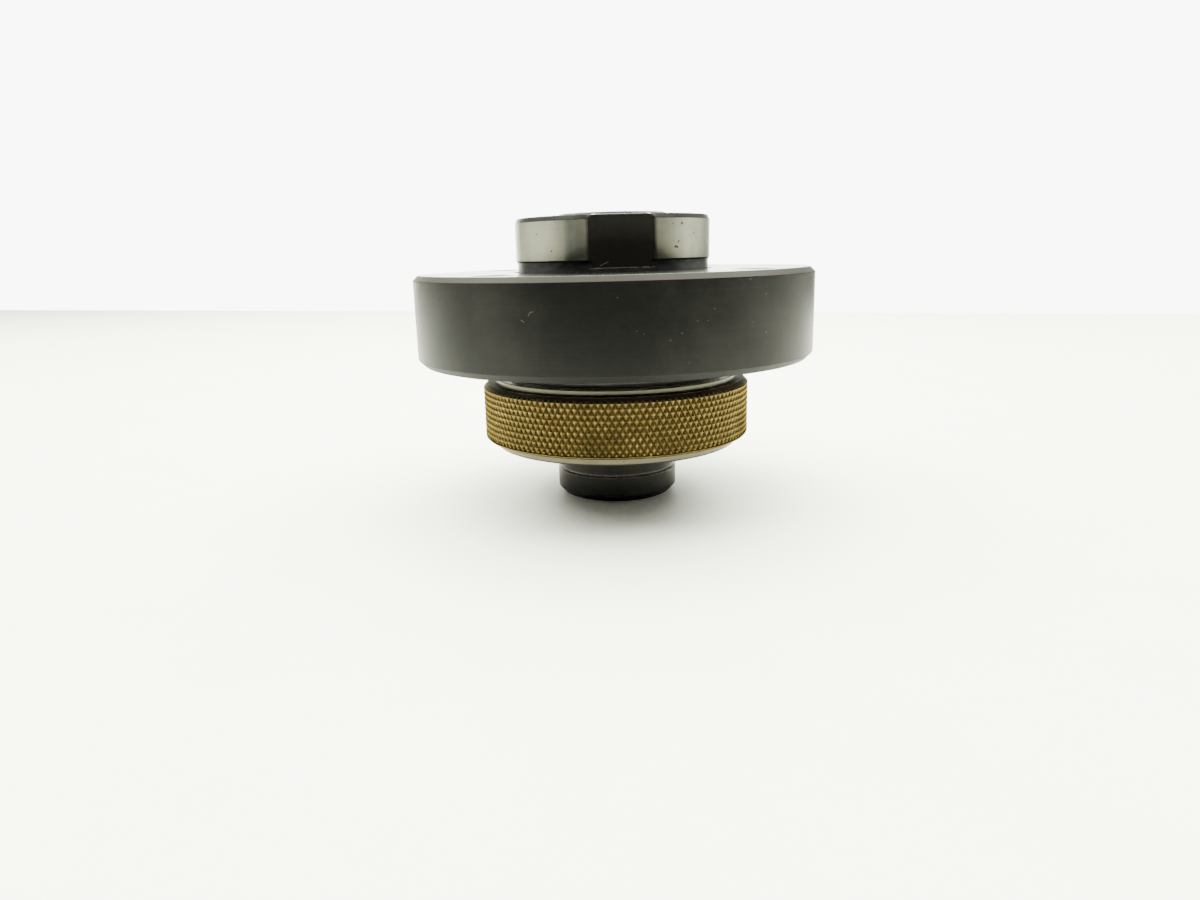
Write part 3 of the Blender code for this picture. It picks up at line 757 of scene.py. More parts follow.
@dataclass(frozen=True, kw_only=True)
class GroundPilot(BlackOxide):
    """The flange's oxide, with the pilot's wall ground bright between its relief and its lead-in.

    The sizes say where the parts of the flange lie: the pilot's wall, the band on it that is ground, the
    flange's rim with its two chamfers, its upper face and underside, the pilot's top, the milled flat with
    its foot, and the collar below.
    """

    wall: float
    band: tuple[float, float]
    rim: float
    chamfers: tuple[float, float]
    face: float
    under: float
    top: float
    flat: float
    flat_foot: float
    collar: float
    stains: tuple[tuple[float, float, float], ...]
    scratches: tuple[tuple[float, float, float, float], ...]
    streaks: tuple[tuple[float, float, float], ...] = (
        (-116.0, 3.0, 0.45), (-119.5, 1.6, 0.25), (-71.2, 0.7, 0.3),
    )
    nick: tuple[float, float, float, float] = (-5.0, 58.6, -3.1, 59.45)
    bright: Colour = (0.38, 0.38, 0.32)
    tarnish: Colour = (0.24, 0.235, 0.18)
    # Colour of the milled flat: lighter than the oxide, as painted light
    dull: Colour = (0.034, 0.031, 0.030)
    # Colour of the painted sheen in the pilot's relief
    painted_light_coat: Colour = (0.085, 0.089, 0.090)
    # Colour of the painted light on the collar under the flange
    painted_collar_light: Colour = (0.16, 0.16, 0.14)
    bare: Colour = (0.42, 0.43, 0.41)
    stain: Colour = (0.07, 0.035, 0.022)
    streak: Colour = (0.12, 0.13, 0.14)
    brim: Colour = (0.10, 0.070, 0.050)

    def pilot_marks(self, graph: Graph) -> Value:
        """Bare metal on the pilot: the flat's edges, and specks round the pilot's foot. The line along the
        flat's foot is worn bare metal and also a painted highlight on the ledge.
        """
        ahead = graph.y - self.flat
        top = graph.ridge(ahead, graph.z - self.top, 0.26)
        broken = graph.noise(graph.point, 0.5).rise(0.3, 0.5)
        # Worn bare metal and a painted highlight along the ledge at the flat's foot
        foot = graph.ridge(ahead * 0.3, graph.z - self.flat_foot, 0.16) * broken
        ring = graph.radius.within(self.wall - 0.5, self.wall + 1.3, 0.3)
        corner = ring * abs(graph.z - self.face + 0.05).fall(0.15, 0.45)
        crumbs = graph.specks(graph.point, 2.2, 0.24, 0.30)
        nick = graph.dash(graph.x, graph.z, Vector(self.nick[:2]), Vector(self.nick[2:]), 0.09)
        nick = nick * abs(ahead).fall(0.1, 0.2)
        return top.most(foot * 0.6).most(corner * crumbs * 0.55).most(nick * 0.5)

    def chamfered(self, graph: Graph) -> Value:
        """The flange's two chamfers, which are turned more coarsely."""
        above, below = self.chamfers
        upper = abs(graph.radius + graph.z - (self.rim + self.face - above)).fall(0.04, 0.12)
        lower = abs(graph.radius - graph.z - (self.rim - self.under - below)).fall(0.04, 0.12)
        return upper.most(lower) * graph.radius.rise(self.rim - 2.0, self.rim - 1.9)

    def dust_and_painted_light(self, graph: Graph) -> Value:
        """A lighter grey coat in the relief at the pilot's foot, strongest at its bottom: a painted sheen."""
        ring = graph.radius.within(self.wall - 0.45, self.wall - 0.20, 0.03)
        neck = ring * graph.z.within(self.face - 0.2, self.band[0] - 0.05, 0.05)
        smear = graph.noise(graph.vector(graph.angle * self.wall * 0.3, graph.z * 0.9, 5.0), 1.0, 2.0, 0.4)
        sheen_share = graph.z.fall(self.face - 0.1, self.band[0]) * 0.35 + smear.rise(0.35, 0.65) * 0.25 + 0.30
        return neck * sheen_share

    def dress(self, graph: Graph) -> None:
        """Lay the ground wall, the marks and the painted light over the oxide."""
        super().dress(graph)
        oxide = graph.painted("Base Color")
        oxide_rough = Value(graph, graph.painted("Roughness"))
        scratched = self.pilot_marks(graph)
        for bearing, height, turn, climb in self.scratches:
            end = (bearing + turn, height + climb)
            scratched = scratched.most(graph.stroke(self.rim, (bearing, height), end, 0.09) * 0.16)
        # Painted light: the milled flat is painted lighter in the dull colour and takes less metal, standing
        # in for the reflection that lightens it
        milled = abs(graph.y - self.flat).fall(0.02, 0.06)
        milled = milled * graph.z.rise(self.flat_foot - 0.1, self.flat_foot + 0.1)
        # Painted light: the collar under the flange is painted light grey and takes less metal, in place of
        # light in the gap's shade
        painted_collar_light = abs(graph.radius - self.collar).fall(0.1, 0.2)
        painted_collar_light = painted_collar_light * graph.z.fall(self.under - 0.1, self.under + 0.1)
        # Painted sheen in the relief, kept off the milled flat
        oxide = graph.mix(self.dust_and_painted_light(graph) * (1.0 - milled), oxide, self.painted_light_coat)
        oxide = graph.mix(milled * 0.5, oxide, self.dull)
        oxide = graph.mix(painted_collar_light, oxide, self.painted_collar_light)
        oxide = graph.mix(scratched, oxide, self.bare)
        fine = graph.z.rise(self.face - 0.10, self.face - 0.02)
        fine = fine * graph.radius.rise(self.wall + 1.0, self.wall + 1.4)
        oxide_rough = oxide_rough + self.chamfered(graph) * 0.20 - fine * 0.08
        # The painted light on the milled flat and the collar takes metal away
        painted_light_mask = (milled * 0.4).most(painted_collar_light)
        oxide_metal = self.metal * (1.0 - painted_light_mask * 0.9) + scratched * (1.0 - self.metal)

        ground = abs(graph.radius - self.wall).fall(0.03, 0.07) * graph.z.within(*self.band, 0.04)
        lines = graph.noise(graph.vector(graph.z * 9.0, graph.angle * 2.0, 0.0), 1.0, 2.0, 0.8)
        patch = graph.noise(graph.vector(graph.angle * self.wall, graph.z * 0.4, 3.0), 0.20, 4.0, 0.6)
        dull = lines.rise(0.35, 0.75) * 0.40 + patch.rise(0.42, 0.72) * 0.5
        marks = graph.spots(graph.specks(graph.point, 1.1, 0.16, 0.08) * 0.6, self.wall, self.stains)
        colour = graph.mix(marks, graph.mix(dull, self.bright, self.tarnish), self.stain)
        for bearing, width, share in self.streaks:
            streak = graph.stroke(self.wall, (bearing, self.face - 7.2), (bearing, self.top + 10.0), width)
            colour = graph.mix(streak * share, colour, self.streak)
        brim = graph.ridge(graph.y - self.flat, graph.radius - self.wall, 0.14)
        colour = graph.mix(brim * 0.6, colour, self.brim)
        graph.paint(
            graph.mix(ground, oxide, colour),
            graph.blend(ground, oxide_rough, 0.25 + lines * 0.14 + marks * 0.3),
            graph.blend(ground, oxide_metal, 1.0 - marks * 0.7),
        )


@dataclass(frozen=True, kw_only=True)
class ScuffedNose(BlackOxide):
    """The barrel's oxide, with painted light on the nose's ledge and golden scuffs beside it."""

    ledge: float
    nose: float
    # Colour of the painted light on the nose's ledge
    dust_and_painted_light: Colour = (0.075, 0.075, 0.066)
    scuff: Colour = (0.16, 0.125, 0.06)
    scuffs: tuple[tuple[float, float, float, float], ...] = (
        (-40.0, 6.2, 9.0, 0.5), (-34.0, 5.6, 7.0, 1.0), (-52.0, 6.4, 6.0, 0.2), (-24.0, 4.4, 5.0, 1.6),
    )

    def dress(self, graph: Graph) -> None:
        """Lay the painted light on the ledge and the scuffs over the oxide."""
        super().dress(graph)
        grain = graph.noise(graph.point, 2.4, 4.0, 0.65)
        ring = graph.radius.within(self.nose - 0.6, self.nose + 0.1, 0.02)
        # Painted light: the ledge, which reflects the sleeve's dark underside, is painted lighter and takes
        # less metal
        painted_light_coat = abs(graph.z - self.ledge).fall(0.15, 0.6) * ring * grain.rise(0.25, 0.6)
        scuffed: Number = 0.0
        for bearing, height, turn, climb in self.scuffs:
            scuff = graph.stroke(self.nose, (bearing, height), (bearing + turn, height + climb), 0.30)
            scuffed = graph.maths("MAXIMUM", scuffed, scuff * grain.rise(0.46, 0.60))
        colour = graph.mix(painted_light_coat * 0.5, graph.painted("Base Color"), self.dust_and_painted_light)
        graph.paint(graph.mix(scuffed, colour, self.scuff), metal=self.metal * (1.0 - painted_light_coat * 0.9))


@dataclass(frozen=True)
class TurnedSteel(Finish):
    """Bare turned or ground steel: fine rings, warm tarnish and small dark specks.

    The painted light is a dull, lighter film up to a height, where it ends between two limits: it lifts the
    wall's foot, which lies in shade over the brass. It comes with a painted shadow, a dark line at the
    sleeve's foot.
    """

    tarnish: Colour = (0.060, 0.052, 0.034)
    # Colour of the specks, and of the painted shadow line at the sleeve's foot
    dirt_and_shadow: Colour = (0.014, 0.011, 0.008)
    # Colour of the painted light film
    film: Colour = (0.125, 0.115, 0.088)
    ring_pitch: float = 0.16
    soiling: float = 0.5
    # Limits of the painted light film, where there is one
    painted_light_limits: tuple[float, float] | None = None
    painted_foot_shadow: tuple[float, float] = (13.95, 14.12)

    def dress(self, graph: Graph) -> None:
        """Add the rings, the tarnish, the specks, the painted light film and the painted shadow line."""
        rings = graph.lathe_marks(self.ring_pitch)
        cloud = graph.noise(graph.point, 0.16, 4.0, 0.6)
        grain = graph.noise(graph.point, 2.6, 3.0, 0.6)
        tarnish = (cloud.rise(0.42, 0.70) * 0.6 + rings.rise(0.5, 0.8) * 0.3) * self.soiling
        specks = graph.specks(graph.point, 0.8, 0.15, 0.10 * self.soiling)
        colour = graph.mix(tarnish, self.colour, self.tarnish)
        if self.painted_light_limits is not None:
            low, high = self.painted_light_limits
            # Painted light: the film lightens the wall's foot and takes metal away, where the wall lies in
            # shade over the brass
            film = (graph.z + grain * 0.2 - 0.10).fall(low, high) * graph.z.rise(low - 2.0, low - 1.9)
            # Painted shadow: a dark line at the sleeve's foot, in the specks' colour
            specks = specks.most(graph.z.fall(*self.painted_foot_shadow) * 0.85)
            colour = graph.mix(film, colour, self.film)
            graph.paint(metal=self.metal - film * 0.85)
        rough = self.rough + rings * 0.12 + grain * 0.10 + tarnish * 0.10 - 0.11
        graph.paint(graph.mix(specks, colour, self.dirt_and_shadow), rough)
        graph.bump(rings, 0.005)


@dataclass(frozen=True, kw_only=True)
class AgedBrass(Finish):
    """Brown brass: the knurl's crests are rubbed golden, and its grooves hold dark grime.

    The sizes say where the ring's parts lie: its outer wall, the land on its top, the knurl's foot and
    depth, and the bevel, as the sum of radius and height on it. Rubs and dims are brighter and duller spots.
    """

    outer: float
    land: float
    foot: float
    depth: float
    bevel: float
    crest: Colour = (0.36, 0.27, 0.085)
    gold: Colour = (0.55, 0.36, 0.11)
    brown: Colour = (0.055, 0.040, 0.014)
    grime: Colour = (0.030, 0.022, 0.0075)
    shadow: Colour = (0.014, 0.010, 0.006)
    # Colour of the painted light on the land
    land_painted_light: Colour = (0.060, 0.050, 0.034)
    grazing: Colour = (0.62, 0.56, 0.38)
    rubs: tuple[tuple[float, float, float], ...] = (
        (-88.0, 19.2, 3.2), (-82.0, 17.8, 2.4), (-101.0, 23.5, 2.6), (-112.0, 22.5, 3.4), (-150.0, 24.0, 5.0),
    )
    dims: tuple[tuple[float, float, float], ...] = (
        (-103.5, 18.6, 4.2), (-96.0, 21.0, 2.6), (-108.0, 28.6, 2.6), (-30.0, 20.0, 5.0),
    )

    def dress(self, graph: Graph) -> None:
        """Colour the brass by its height above the knurl's grooves."""
        graph.feed(graph.surface.inputs["Specular Tint"], self.grazing)
        height = (graph.radius - (self.outer - self.depth)) / self.depth
        cloud = graph.noise(graph.point, 0.11, 4.0, 0.65)
        grain = graph.noise(graph.point, 2.3, 4.0, 0.65)
        fleck = graph.noise(graph.point, 0.62, 2.0, 0.5)
        above = graph.z.rise(self.bevel - self.outer - 0.22, self.bevel - self.outer - 0.02)
        wear = graph.spots(cloud.rise(0.34, 0.68) * 0.75 + 0.10, self.outer, self.rubs)
        dim = graph.spots(graph.z.fall(self.foot - 0.2, self.foot), self.outer, self.dims)
        crest = height.rise(0.50, 1.0) * wear * (1.0 - dim * 0.75) * (0.30 + fleck.rise(0.35, 0.62) * 0.70)
        packed = height.fall(0.0, 0.40) * graph.z.rise(self.foot, self.foot + 0.2)
        # Painted light: the land on the ring's top is painted lighter and takes less metal, where it reflects
        # the sleeve beside it
        land = graph.z.rise(self.land - 0.10, self.land - 0.02)
        colour = graph.mix(grain.rise(0.35, 0.65) * 0.7, self.colour, self.brown)
        colour = graph.mix(packed * 0.60, graph.mix(dim * 0.45, colour, self.brown), self.grime)
        colour = graph.mix(crest, colour, graph.mix(grain.rise(0.45, 0.65), self.crest, self.gold))
        colour = graph.mix(above, colour, graph.mix(grain.rise(0.45, 0.75) * 0.3, self.shadow, self.brown))
        graph.paint(
            graph.mix(land, colour, self.land_painted_light),
            self.rough + packed * 0.22 + grain * 0.24 - 0.11,
            self.metal - packed * 0.15 - above * 0.2 - land * 0.6,
        )
        graph.bump(grain, 0.05)


@dataclass(frozen=True)
class PolishedBall(Finish):
    """Polished bearing steel with a film of oil and faint rolling tracks."""

    oil: Colour = (0.42, 0.38, 0.30)

    def dress(self, graph: Graph) -> None:
        """Add the oil film and the tracks."""
        film = graph.noise(graph.point, 0.5, 4.0, 0.6)
        tracks = graph.noise(graph.point, 6.0, 2.0, 0.7)
        rough = self.rough + film * 0.10 + tracks.rise(0.55, 0.8) * 0.12
        graph.paint(graph.mix(film.rise(0.45, 0.7) * 0.5, self.colour, self.oil), rough)


@dataclass(frozen=True)
class OiledSpring(Finish):
    """Oil-tempered spring steel: blue-black scale with a brown cast."""

    cast: Colour = (0.12, 0.085, 0.055)

    def dress(self, graph: Graph) -> None:
        """Add the scale's cast and its drawn grain."""
        cloud = graph.noise(graph.point, 0.4, 4.0, 0.6)
        grain = graph.noise(graph.point, 4.0, 3.0, 0.6)
        colour = graph.mix(cloud.rise(0.4, 0.7) * 0.6, self.colour, self.cast)
        graph.paint(colour, self.rough + grain * 0.2 - 0.1)
        graph.bump(grain, 0.006)


@dataclass(frozen=True)
class SealRubber(Finish):
    """Nitrile rubber with a fine moulded grain and a bloom of dust."""

    dust_and_painted_light: Colour = (0.060, 0.058, 0.052)

    def dress(self, graph: Graph) -> None:
        """Add the bloom and the grain."""
        cloud = graph.noise(graph.point, 0.9, 4.0, 0.65)
        grain = graph.noise(graph.point, 7.0, 2.0, 0.6)
        graph.paint(graph.mix(cloud.rise(0.4, 0.7), self.colour, self.dust_and_painted_light), self.rough + grain * 0.2 - 0.1)
        graph.feed(graph.surface.inputs["Specular IOR Level"], 0.35)
        graph.bump(grain, 0.008)


GROUND = TurnedSteel("Ground steel", Slot.GROUND_STEEL, (0.30, 0.30, 0.27), 1.0, 0.30)
BRIGHT = TurnedSteel("Turned steel", Slot.BRIGHT_STEEL, (0.076, 0.075, 0.054), 1.0, 0.36, painted_light_limits=(29.9, 30.65))
BALL = PolishedBall("Polished ball steel", Slot.BALL_STEEL, (0.62, 0.62, 0.62), 1.0, 0.12)
SPRING = OiledSpring("Oil tempered spring steel", Slot.SPRING_STEEL, (0.17, 0.17, 0.18), 0.9, 0.42)
RUBBER = SealRubber("Nitrile rubber", Slot.SEAL_RUBBER, (0.016, 0.016, 0.016), 0.0, 0.62)


@dataclass
class FlangeAndPilot:
    """The flange with its pilot, spring recess, dark collar and four screw holes."""

    machine_face: float
    flat: float
    thickness: float = 21.7
    top_chamfer: float = 1.25
    bottom_chamfer: float = 1.5
    pilot_radius: float = 24.35
    lead_in: tuple[float, float] = (0.5, 1.1)
    relief_depth: float = 0.35
    relief_height: float = 2.65
    face_relief: tuple[float, float] = (0.8, 0.3)
    flat_foot: float = 0.85
    bore: float = 17.3
    recess: float = 25.308
    recess_depth: float = 13.5
    collar: float = 27.108
    hole: float = 4.5
    head: float = 6.8
    head_depth: float = 8.6
    bolt_circle: float = 41.0
    bolts: int = 4
    edge: float = 0.10
    flat_edge: float = 0.09
    flare: float = 0.35

    def outline(self, reach: Reach) -> Outline:
        """Section of the flange and pilot, from the recess's ceiling round to the pilot's bore."""
        face = self.machine_face
        under = face - self.thickness
        ceiling = under + self.recess_depth
        neck = self.pilot_radius - self.relief_depth
        lead, lead_height = self.lead_in
        relief = self.pilot_radius + self.face_relief[0]
        return [
            (self.bore, ceiling),
            (self.recess, ceiling),
            (self.recess, reach.foot),
            (self.collar - 0.3, reach.foot),
            (self.collar, reach.foot + 0.3),
            (self.collar, under),
            (reach.radius - self.bottom_chamfer, under),
            (reach.radius, under + self.bottom_chamfer),
            (reach.radius, face - self.top_chamfer),
            (reach.radius - self.top_chamfer, face),
            (relief, face),
            (relief, face - self.face_relief[1]),
            (neck, face - self.face_relief[1]),
            (neck, face + self.relief_height - self.relief_depth),
            (self.pilot_radius, face + self.relief_height),
            (self.pilot_radius, reach.top - lead_height),
            (self.pilot_radius - lead, reach.top),
            (self.bore, reach.top),
        ]

    def bolt_tool(self) -> bpy.types.Object:
        """A cutter for one screw hole, flared where it leaves each face."""
        under = self.machine_face - self.thickness
        seat = under + self.head_depth
        top = self.machine_face
        outline = [
            (0.0, under - BEYOND),
            (self.head + self.flare, under - BEYOND),
            (self.head + self.flare, under),
            (self.head, under + self.flare),
            (self.head, seat),
            (self.hole + self.flare, seat),
            (self.hole, seat + self.flare),
            (self.hole, top - self.flare),
            (self.hole + self.flare, top),
            (self.hole + self.flare, top + BEYOND),
            (0.0, top + BEYOND),
        ]
        return Bench.turned("bolt_tool", outline, sides=64)

    def finish(self, reach: Reach) -> GroundPilot:
        """The flange's finish, with its edges, stains and scratches where they lie."""
        face = self.machine_face
        under = face - self.thickness
        rim = reach.radius
        low = face + self.relief_height
        high = reach.top - self.lead_in[1]
        edges = ((rim - self.top_chamfer, face), (self.pilot_radius - self.lead_in[0], reach.top))
        stains = (
            (-53.8, 67.7, 0.45), (-56.4, 63.6, 0.34), (-58.6, 62.5, 0.42), (-57.4, 62.4, 0.40),
            (-43.7, 65.5, 0.26), (-60.4, 67.6, 0.24), (-110.6, 60.4, 0.32), (-141.6, 66.0, 0.28),
            (-130.5, 62.1, 0.30),
        )
        scratches = (
            (-117.4, 48.6, 0.8, -0.4), (-115.5, 49.4, 0.5, 0.7), (-115.0, 50.1, 0.8, 0.2),
            (-82.2, 44.0, 0.1, 0.1), (-79.4, 45.4, 0.2, -0.1), (-75.5, 47.6, 0.1, 0.1),
            (-72.8, 47.6, 0.1, 0.0), (-71.1, 49.9, 0.2, 0.1), (-60.9, 55.4, 0.4, 0.1),
            (-55.3, 52.2, 0.1, 0.2), (-55.0, 44.1, 0.2, 0.3), (-94.4, 52.8, 0.2, 0.0),
        )
        return GroundPilot(
            "Flange black oxide and ground pilot", Slot.BLACK_OXIDE, (0.0075, 0.0075, 0.0074), 0.80, 0.32,
            edges=edges, seams=((rim, face - self.top_chamfer),), wall=self.pilot_radius, band=(low, high),
            rim=rim, chamfers=(self.top_chamfer, self.bottom_chamfer), face=face, under=under, top=reach.top,
            flat=self.flat, flat_foot=face + self.flat_foot, collar=self.collar, stains=stains,
            scratches=scratches,
        )

    def build(self) -> None:
        """Turn the flange, cut its holes and the pilot's flat, and set the dowel in the joint."""
        reach = Reach.of("flange_body")
        body = Bench.turned("flange_and_pilot", self.outline(reach))
        Bench.break_edges(body, self.edge)
        out = Matrix.Translation((self.bolt_circle * MM, 0.0, 0.0))
        Bench.cut_round(body, self.bolt_tool(), self.bolts, math.pi / self.bolts, out)
        self.cut_flat(body, reach)
        Bench.combine(body, dowel_rod("dowel_tool", FIT, reach.top + BEYOND, chamfer=0.2))
        Bench.hand_over(body, Body.ADAPTER.value, self.finish(reach), "flange_body")
        dowel = dowel_rod("joint_dowel_pin", 0.0, Reach.of("joint_dowel").top, chamfer=0.4)
        Bench.hand_over(dowel, Body.ADAPTER.value, GROUND, "joint_dowel", edge=0.08)

    def cut_flat(self, body: bpy.types.Object, reach: Reach) -> None:
        """Mill the flat on the pilot and break its edges.

        Args:
            body: The turned flange.
            reach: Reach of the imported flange.
        """
        foot = self.machine_face + self.flat_foot
        corner = self.pilot_radius * math.sqrt(2.0)
        tool = Bench.extruded("flat_tool", 4, corner, foot, reach.top + BEYOND, math.pi / 4)
        Bench.put(tool, Matrix.Translation((0.0, (self.flat - self.pilot_radius) * MM, 0.0)))
        Bench.combine(body, tool)
        mesh = body.data
        borders = {
            key for face in mesh.polygons
            if face.normal.y < -0.999 and abs(face.center.y / MM - self.flat) < NEAR
            for key in face.edge_keys
        }

        def sharp(edge: bpy.types.MeshEdge) -> bool:
            """Say whether an edge borders the flat or the ledge at its foot."""
            ends = [mesh.vertices[number].co / MM for number in edge.vertices]
            ledge = all(abs(end.z - foot) < NEAR and end.y < self.flat for end in ends)
            return ledge or edge.key in borders

        Bench.pick(body, "EDGE", sharp)
        bpy.ops.mesh.bevel(offset=self.flat_edge * MM, segments=2, affect="EDGES")
        Bench.clear()


@dataclass
class Barrel:
    """The socket barrel with its nose, neck, hub and ball pockets, its wiper, drive pin and stop."""

    nose_length: float = 6.7
    nose_chamfer: float = 1.6
    nose_radius: float = 15.6
    neck: float = 15.05
    hub_foot: float = 14.0
    hub_top: float = 48.7
    lip: float = 0.3
    shank: float = 17.0
    groove: tuple[float, float, float] = (17.6, 15.6, 17.6)
    plug_seat: tuple[float, float] = (14.0, 66.92)
    chamber: float = 12.3
    socket: float = 10.0
    socket_depth: float = 38.0
    socket_chamfer: float = 1.0
    wiper_groove: tuple[float, float, float] = (11.65, 3.4, 5.6)
    pockets: int = 4
    mouth: tuple[float, float] = (0.35, 0.5)
    pocket_steps: int = 20
    pocket_reach: float = 4.0
    cross_hole: tuple[float, float] = (1.0, 18.0)
    pin_chamfer: float = 0.4
    stop_room: float = 0.4
    edge: float = 0.09

    def outline(self, reach: Reach) -> Outline:
        """Section of the barrel from the nose's chamfer up the outside and down the bore."""
        groove, groove_foot, groove_top = self.groove
        wiper, wiper_foot, wiper_top = self.wiper_groove
        seat, seat_foot = self.plug_seat
        return [
            (self.nose_radius - self.nose_chamfer, 0.0),
            (self.nose_radius, self.nose_chamfer),
            (self.nose_radius, self.nose_length - self.lip),
            (self.nose_radius - self.lip, self.nose_length),
            (self.neck, self.nose_length),
            (self.neck, self.hub_foot),
            (reach.radius - self.lip, self.hub_foot),
            (reach.radius, self.hub_foot + self.lip),
            (reach.radius, groove_foot),
            (groove, groove_foot),
            (groove, groove_top),
            (reach.radius, groove_top),
            (reach.radius, self.hub_top),
            (self.shank, self.hub_top),
            (self.shank, reach.top),
            (seat, reach.top),
            (seat, seat_foot),
            (self.chamber, seat_foot),
            (self.chamber, self.socket_depth),
            (self.socket, self.socket_depth),
            (self.socket, wiper_top),
            (wiper, wiper_top),
            (wiper, wiper_foot),
            (self.socket, wiper_foot),
            (self.socket, self.socket_chamfer),
            (self.socket + self.socket_chamfer, 0.0),
        ]

    def build(self) -> None:
        """Turn the barrel, sink its ball pockets and the pin's hole, and fit its small parts."""
        reach = Reach.of("socket_barrel")
        barrel = Bench.turned("socket_barrel_and_nose", self.outline(reach))
        Bench.break_edges(barrel, self.edge)
        self.sink_pockets(barrel, reach)
        self.fit_pin(barrel)
        Bench.combine(barrel, dowel_rod("groove_tool", FIT, reach.top + BEYOND, chamfer=0.2))
        edges = (
            (self.nose_radius - self.nose_chamfer, 0.0), (self.nose_radius, self.nose_chamfer),
            (self.nose_radius - self.lip, self.nose_length), (reach.radius, self.hub_foot),
        )
        finish = ScuffedNose(
            "Barrel black oxide", Slot.BLACK_OXIDE, (0.0065, 0.0065, 0.0063), 0.85, 0.38, edges=edges,
            ring_pitch=0.22, ledge=self.nose_length, nose=self.nose_radius,
        )
        Bench.hand_over(barrel, Body.ADAPTER.value, finish, "socket_barrel")
        fit_seal("socket_o_ring", "socket_wiper", Body.ADAPTER)
        fit_washer("stop_washer", "stop_washer_turned", Body.ADAPTER, reach.radius + self.stop_room)
        Circlip(self.groove[0] + FIT).build()

    def sink_pockets(self, barrel: bpy.types.Object, reach: Reach) -> None:
        """Drill the ball pockets, each with a round seat that keeps its ball from falling in.

        Args:
            barrel: The turned barrel.
            reach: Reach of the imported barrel.
        """
        low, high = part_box("lock_ball_1")
        ball = (high.z - low.z) / 2 / MM + FIT
        centre = (low.x + high.x) / 2 / MM
        flare_depth, flare = self.mouth
        mouth = reach.radius - centre
        past = mouth + self.pocket_reach
        arc = [math.pi / 2 * step / self.pocket_steps for step in range(1, self.pocket_steps)]
        outline = [(0.0, -ball)] + [(ball * math.sin(turn), -ball * math.cos(turn)) for turn in arc] + [
            (ball, 0.0), (ball, mouth - flare_depth), (ball + flare, mouth + flare - flare_depth),
            (ball + flare, past), (0.0, past),
        ]
        place = Matrix.Translation((centre * MM, 0.0, (low.z + high.z) / 2))
        lie = Matrix.Rotation(math.pi / 2, 4, "Y")
        tool = Bench.turned("pocket_tool", outline, sides=72)
        Bench.cut_round(barrel, tool, self.pockets, 0.0, place @ lie)

    def fit_pin(self, barrel: bpy.types.Object) -> None:
        """Drill the cross hole in the neck and set the drive pin in it."""
        low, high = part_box("drive_pin")
        radius = (high.x - low.x) / 2 / MM
        room = radius + FIT
        lie = Matrix.Translation((0.0, 0.0, (low.z + high.z) / 2)) @ Matrix.Rotation(-math.pi / 2, 4, "X")
        near, far = self.cross_hole
        hole = Bench.turned("pin_tool", [(0.0, near), (room, near), (room, far), (0.0, far)], sides=48)
        Bench.combine(barrel, Bench.put(hole, lie))
        section = rod(radius, low.y / MM, high.y / MM, self.pin_chamfer)
        pin = Bench.turned("drive_pin_ground", section, sides=48)
        Bench.hand_over(Bench.put(pin, lie), Body.ADAPTER.value, GROUND, "drive_pin", edge=0.1)


@dataclass
class Circlip:
    """The circlip that carries the stop washer: an open ring with two lugs and their eyes."""

    inner: float
    depth: float = 3.0
    lug: float = 1.75
    lug_step: float = 0.03
    lug_chamfer: float = 0.01
    lug_bearing: float = 14.2
    lug_out: float = 0.1
    eye: float = 0.8
    gap: tuple[float, float] = (6.96, 2.9)
    gap_in: float = 1.0
    seam: float = 0.004
    edge: float = 0.08

    def build(self) -> None:
        """Turn the ring, join its lugs, drill their eyes and cut the gap between them."""
        reach = Reach.of("sleeve_circlip")
        outer = self.inner + self.depth
        foot, top = reach.foot - BEYOND, reach.top + BEYOND
        section = [
            (self.inner, reach.foot), (outer, reach.foot), (outer, reach.top), (self.inner, reach.top),
        ]
        ring = Bench.turned("circlip_sprung", section, FINE)
        out = Matrix.Translation(((outer + self.lug_out) * MM, 0.0, 0.0))
        for side in (-1, 1):
            place = Matrix.Rotation(side * math.radians(self.lug_bearing), 4, "Z") @ out
            flat = rod(self.lug, reach.foot + self.lug_step, reach.top - self.lug_step, self.lug_chamfer)
            Bench.combine(ring, Bench.put(Bench.turned("lug_tool", flat, sides=40), place), "UNION")
            eye = Bench.turned("eye_tool", rod(self.eye, foot, top, self.lug_chamfer), sides=32)
            Bench.combine(ring, Bench.put(eye, place))
        length, width = self.gap
        cutter = Bench.extruded("gap_tool", 4, width * math.sqrt(2.0), foot, top, math.pi / 4)
        spread = Matrix.Diagonal((length / width, 1.0, 1.0, 1.0))
        Bench.put(cutter, Matrix.Translation(((outer - self.gap_in) * MM, 0.0, 0.0)) @ spread)
        Bench.combine(ring, cutter)
        Bench.apply(ring, "WELD", merge_threshold=self.seam * MM)
        Bench.hand_over(ring, Body.ADAPTER.value, SPRING, "sleeve_circlip", edge=self.edge)


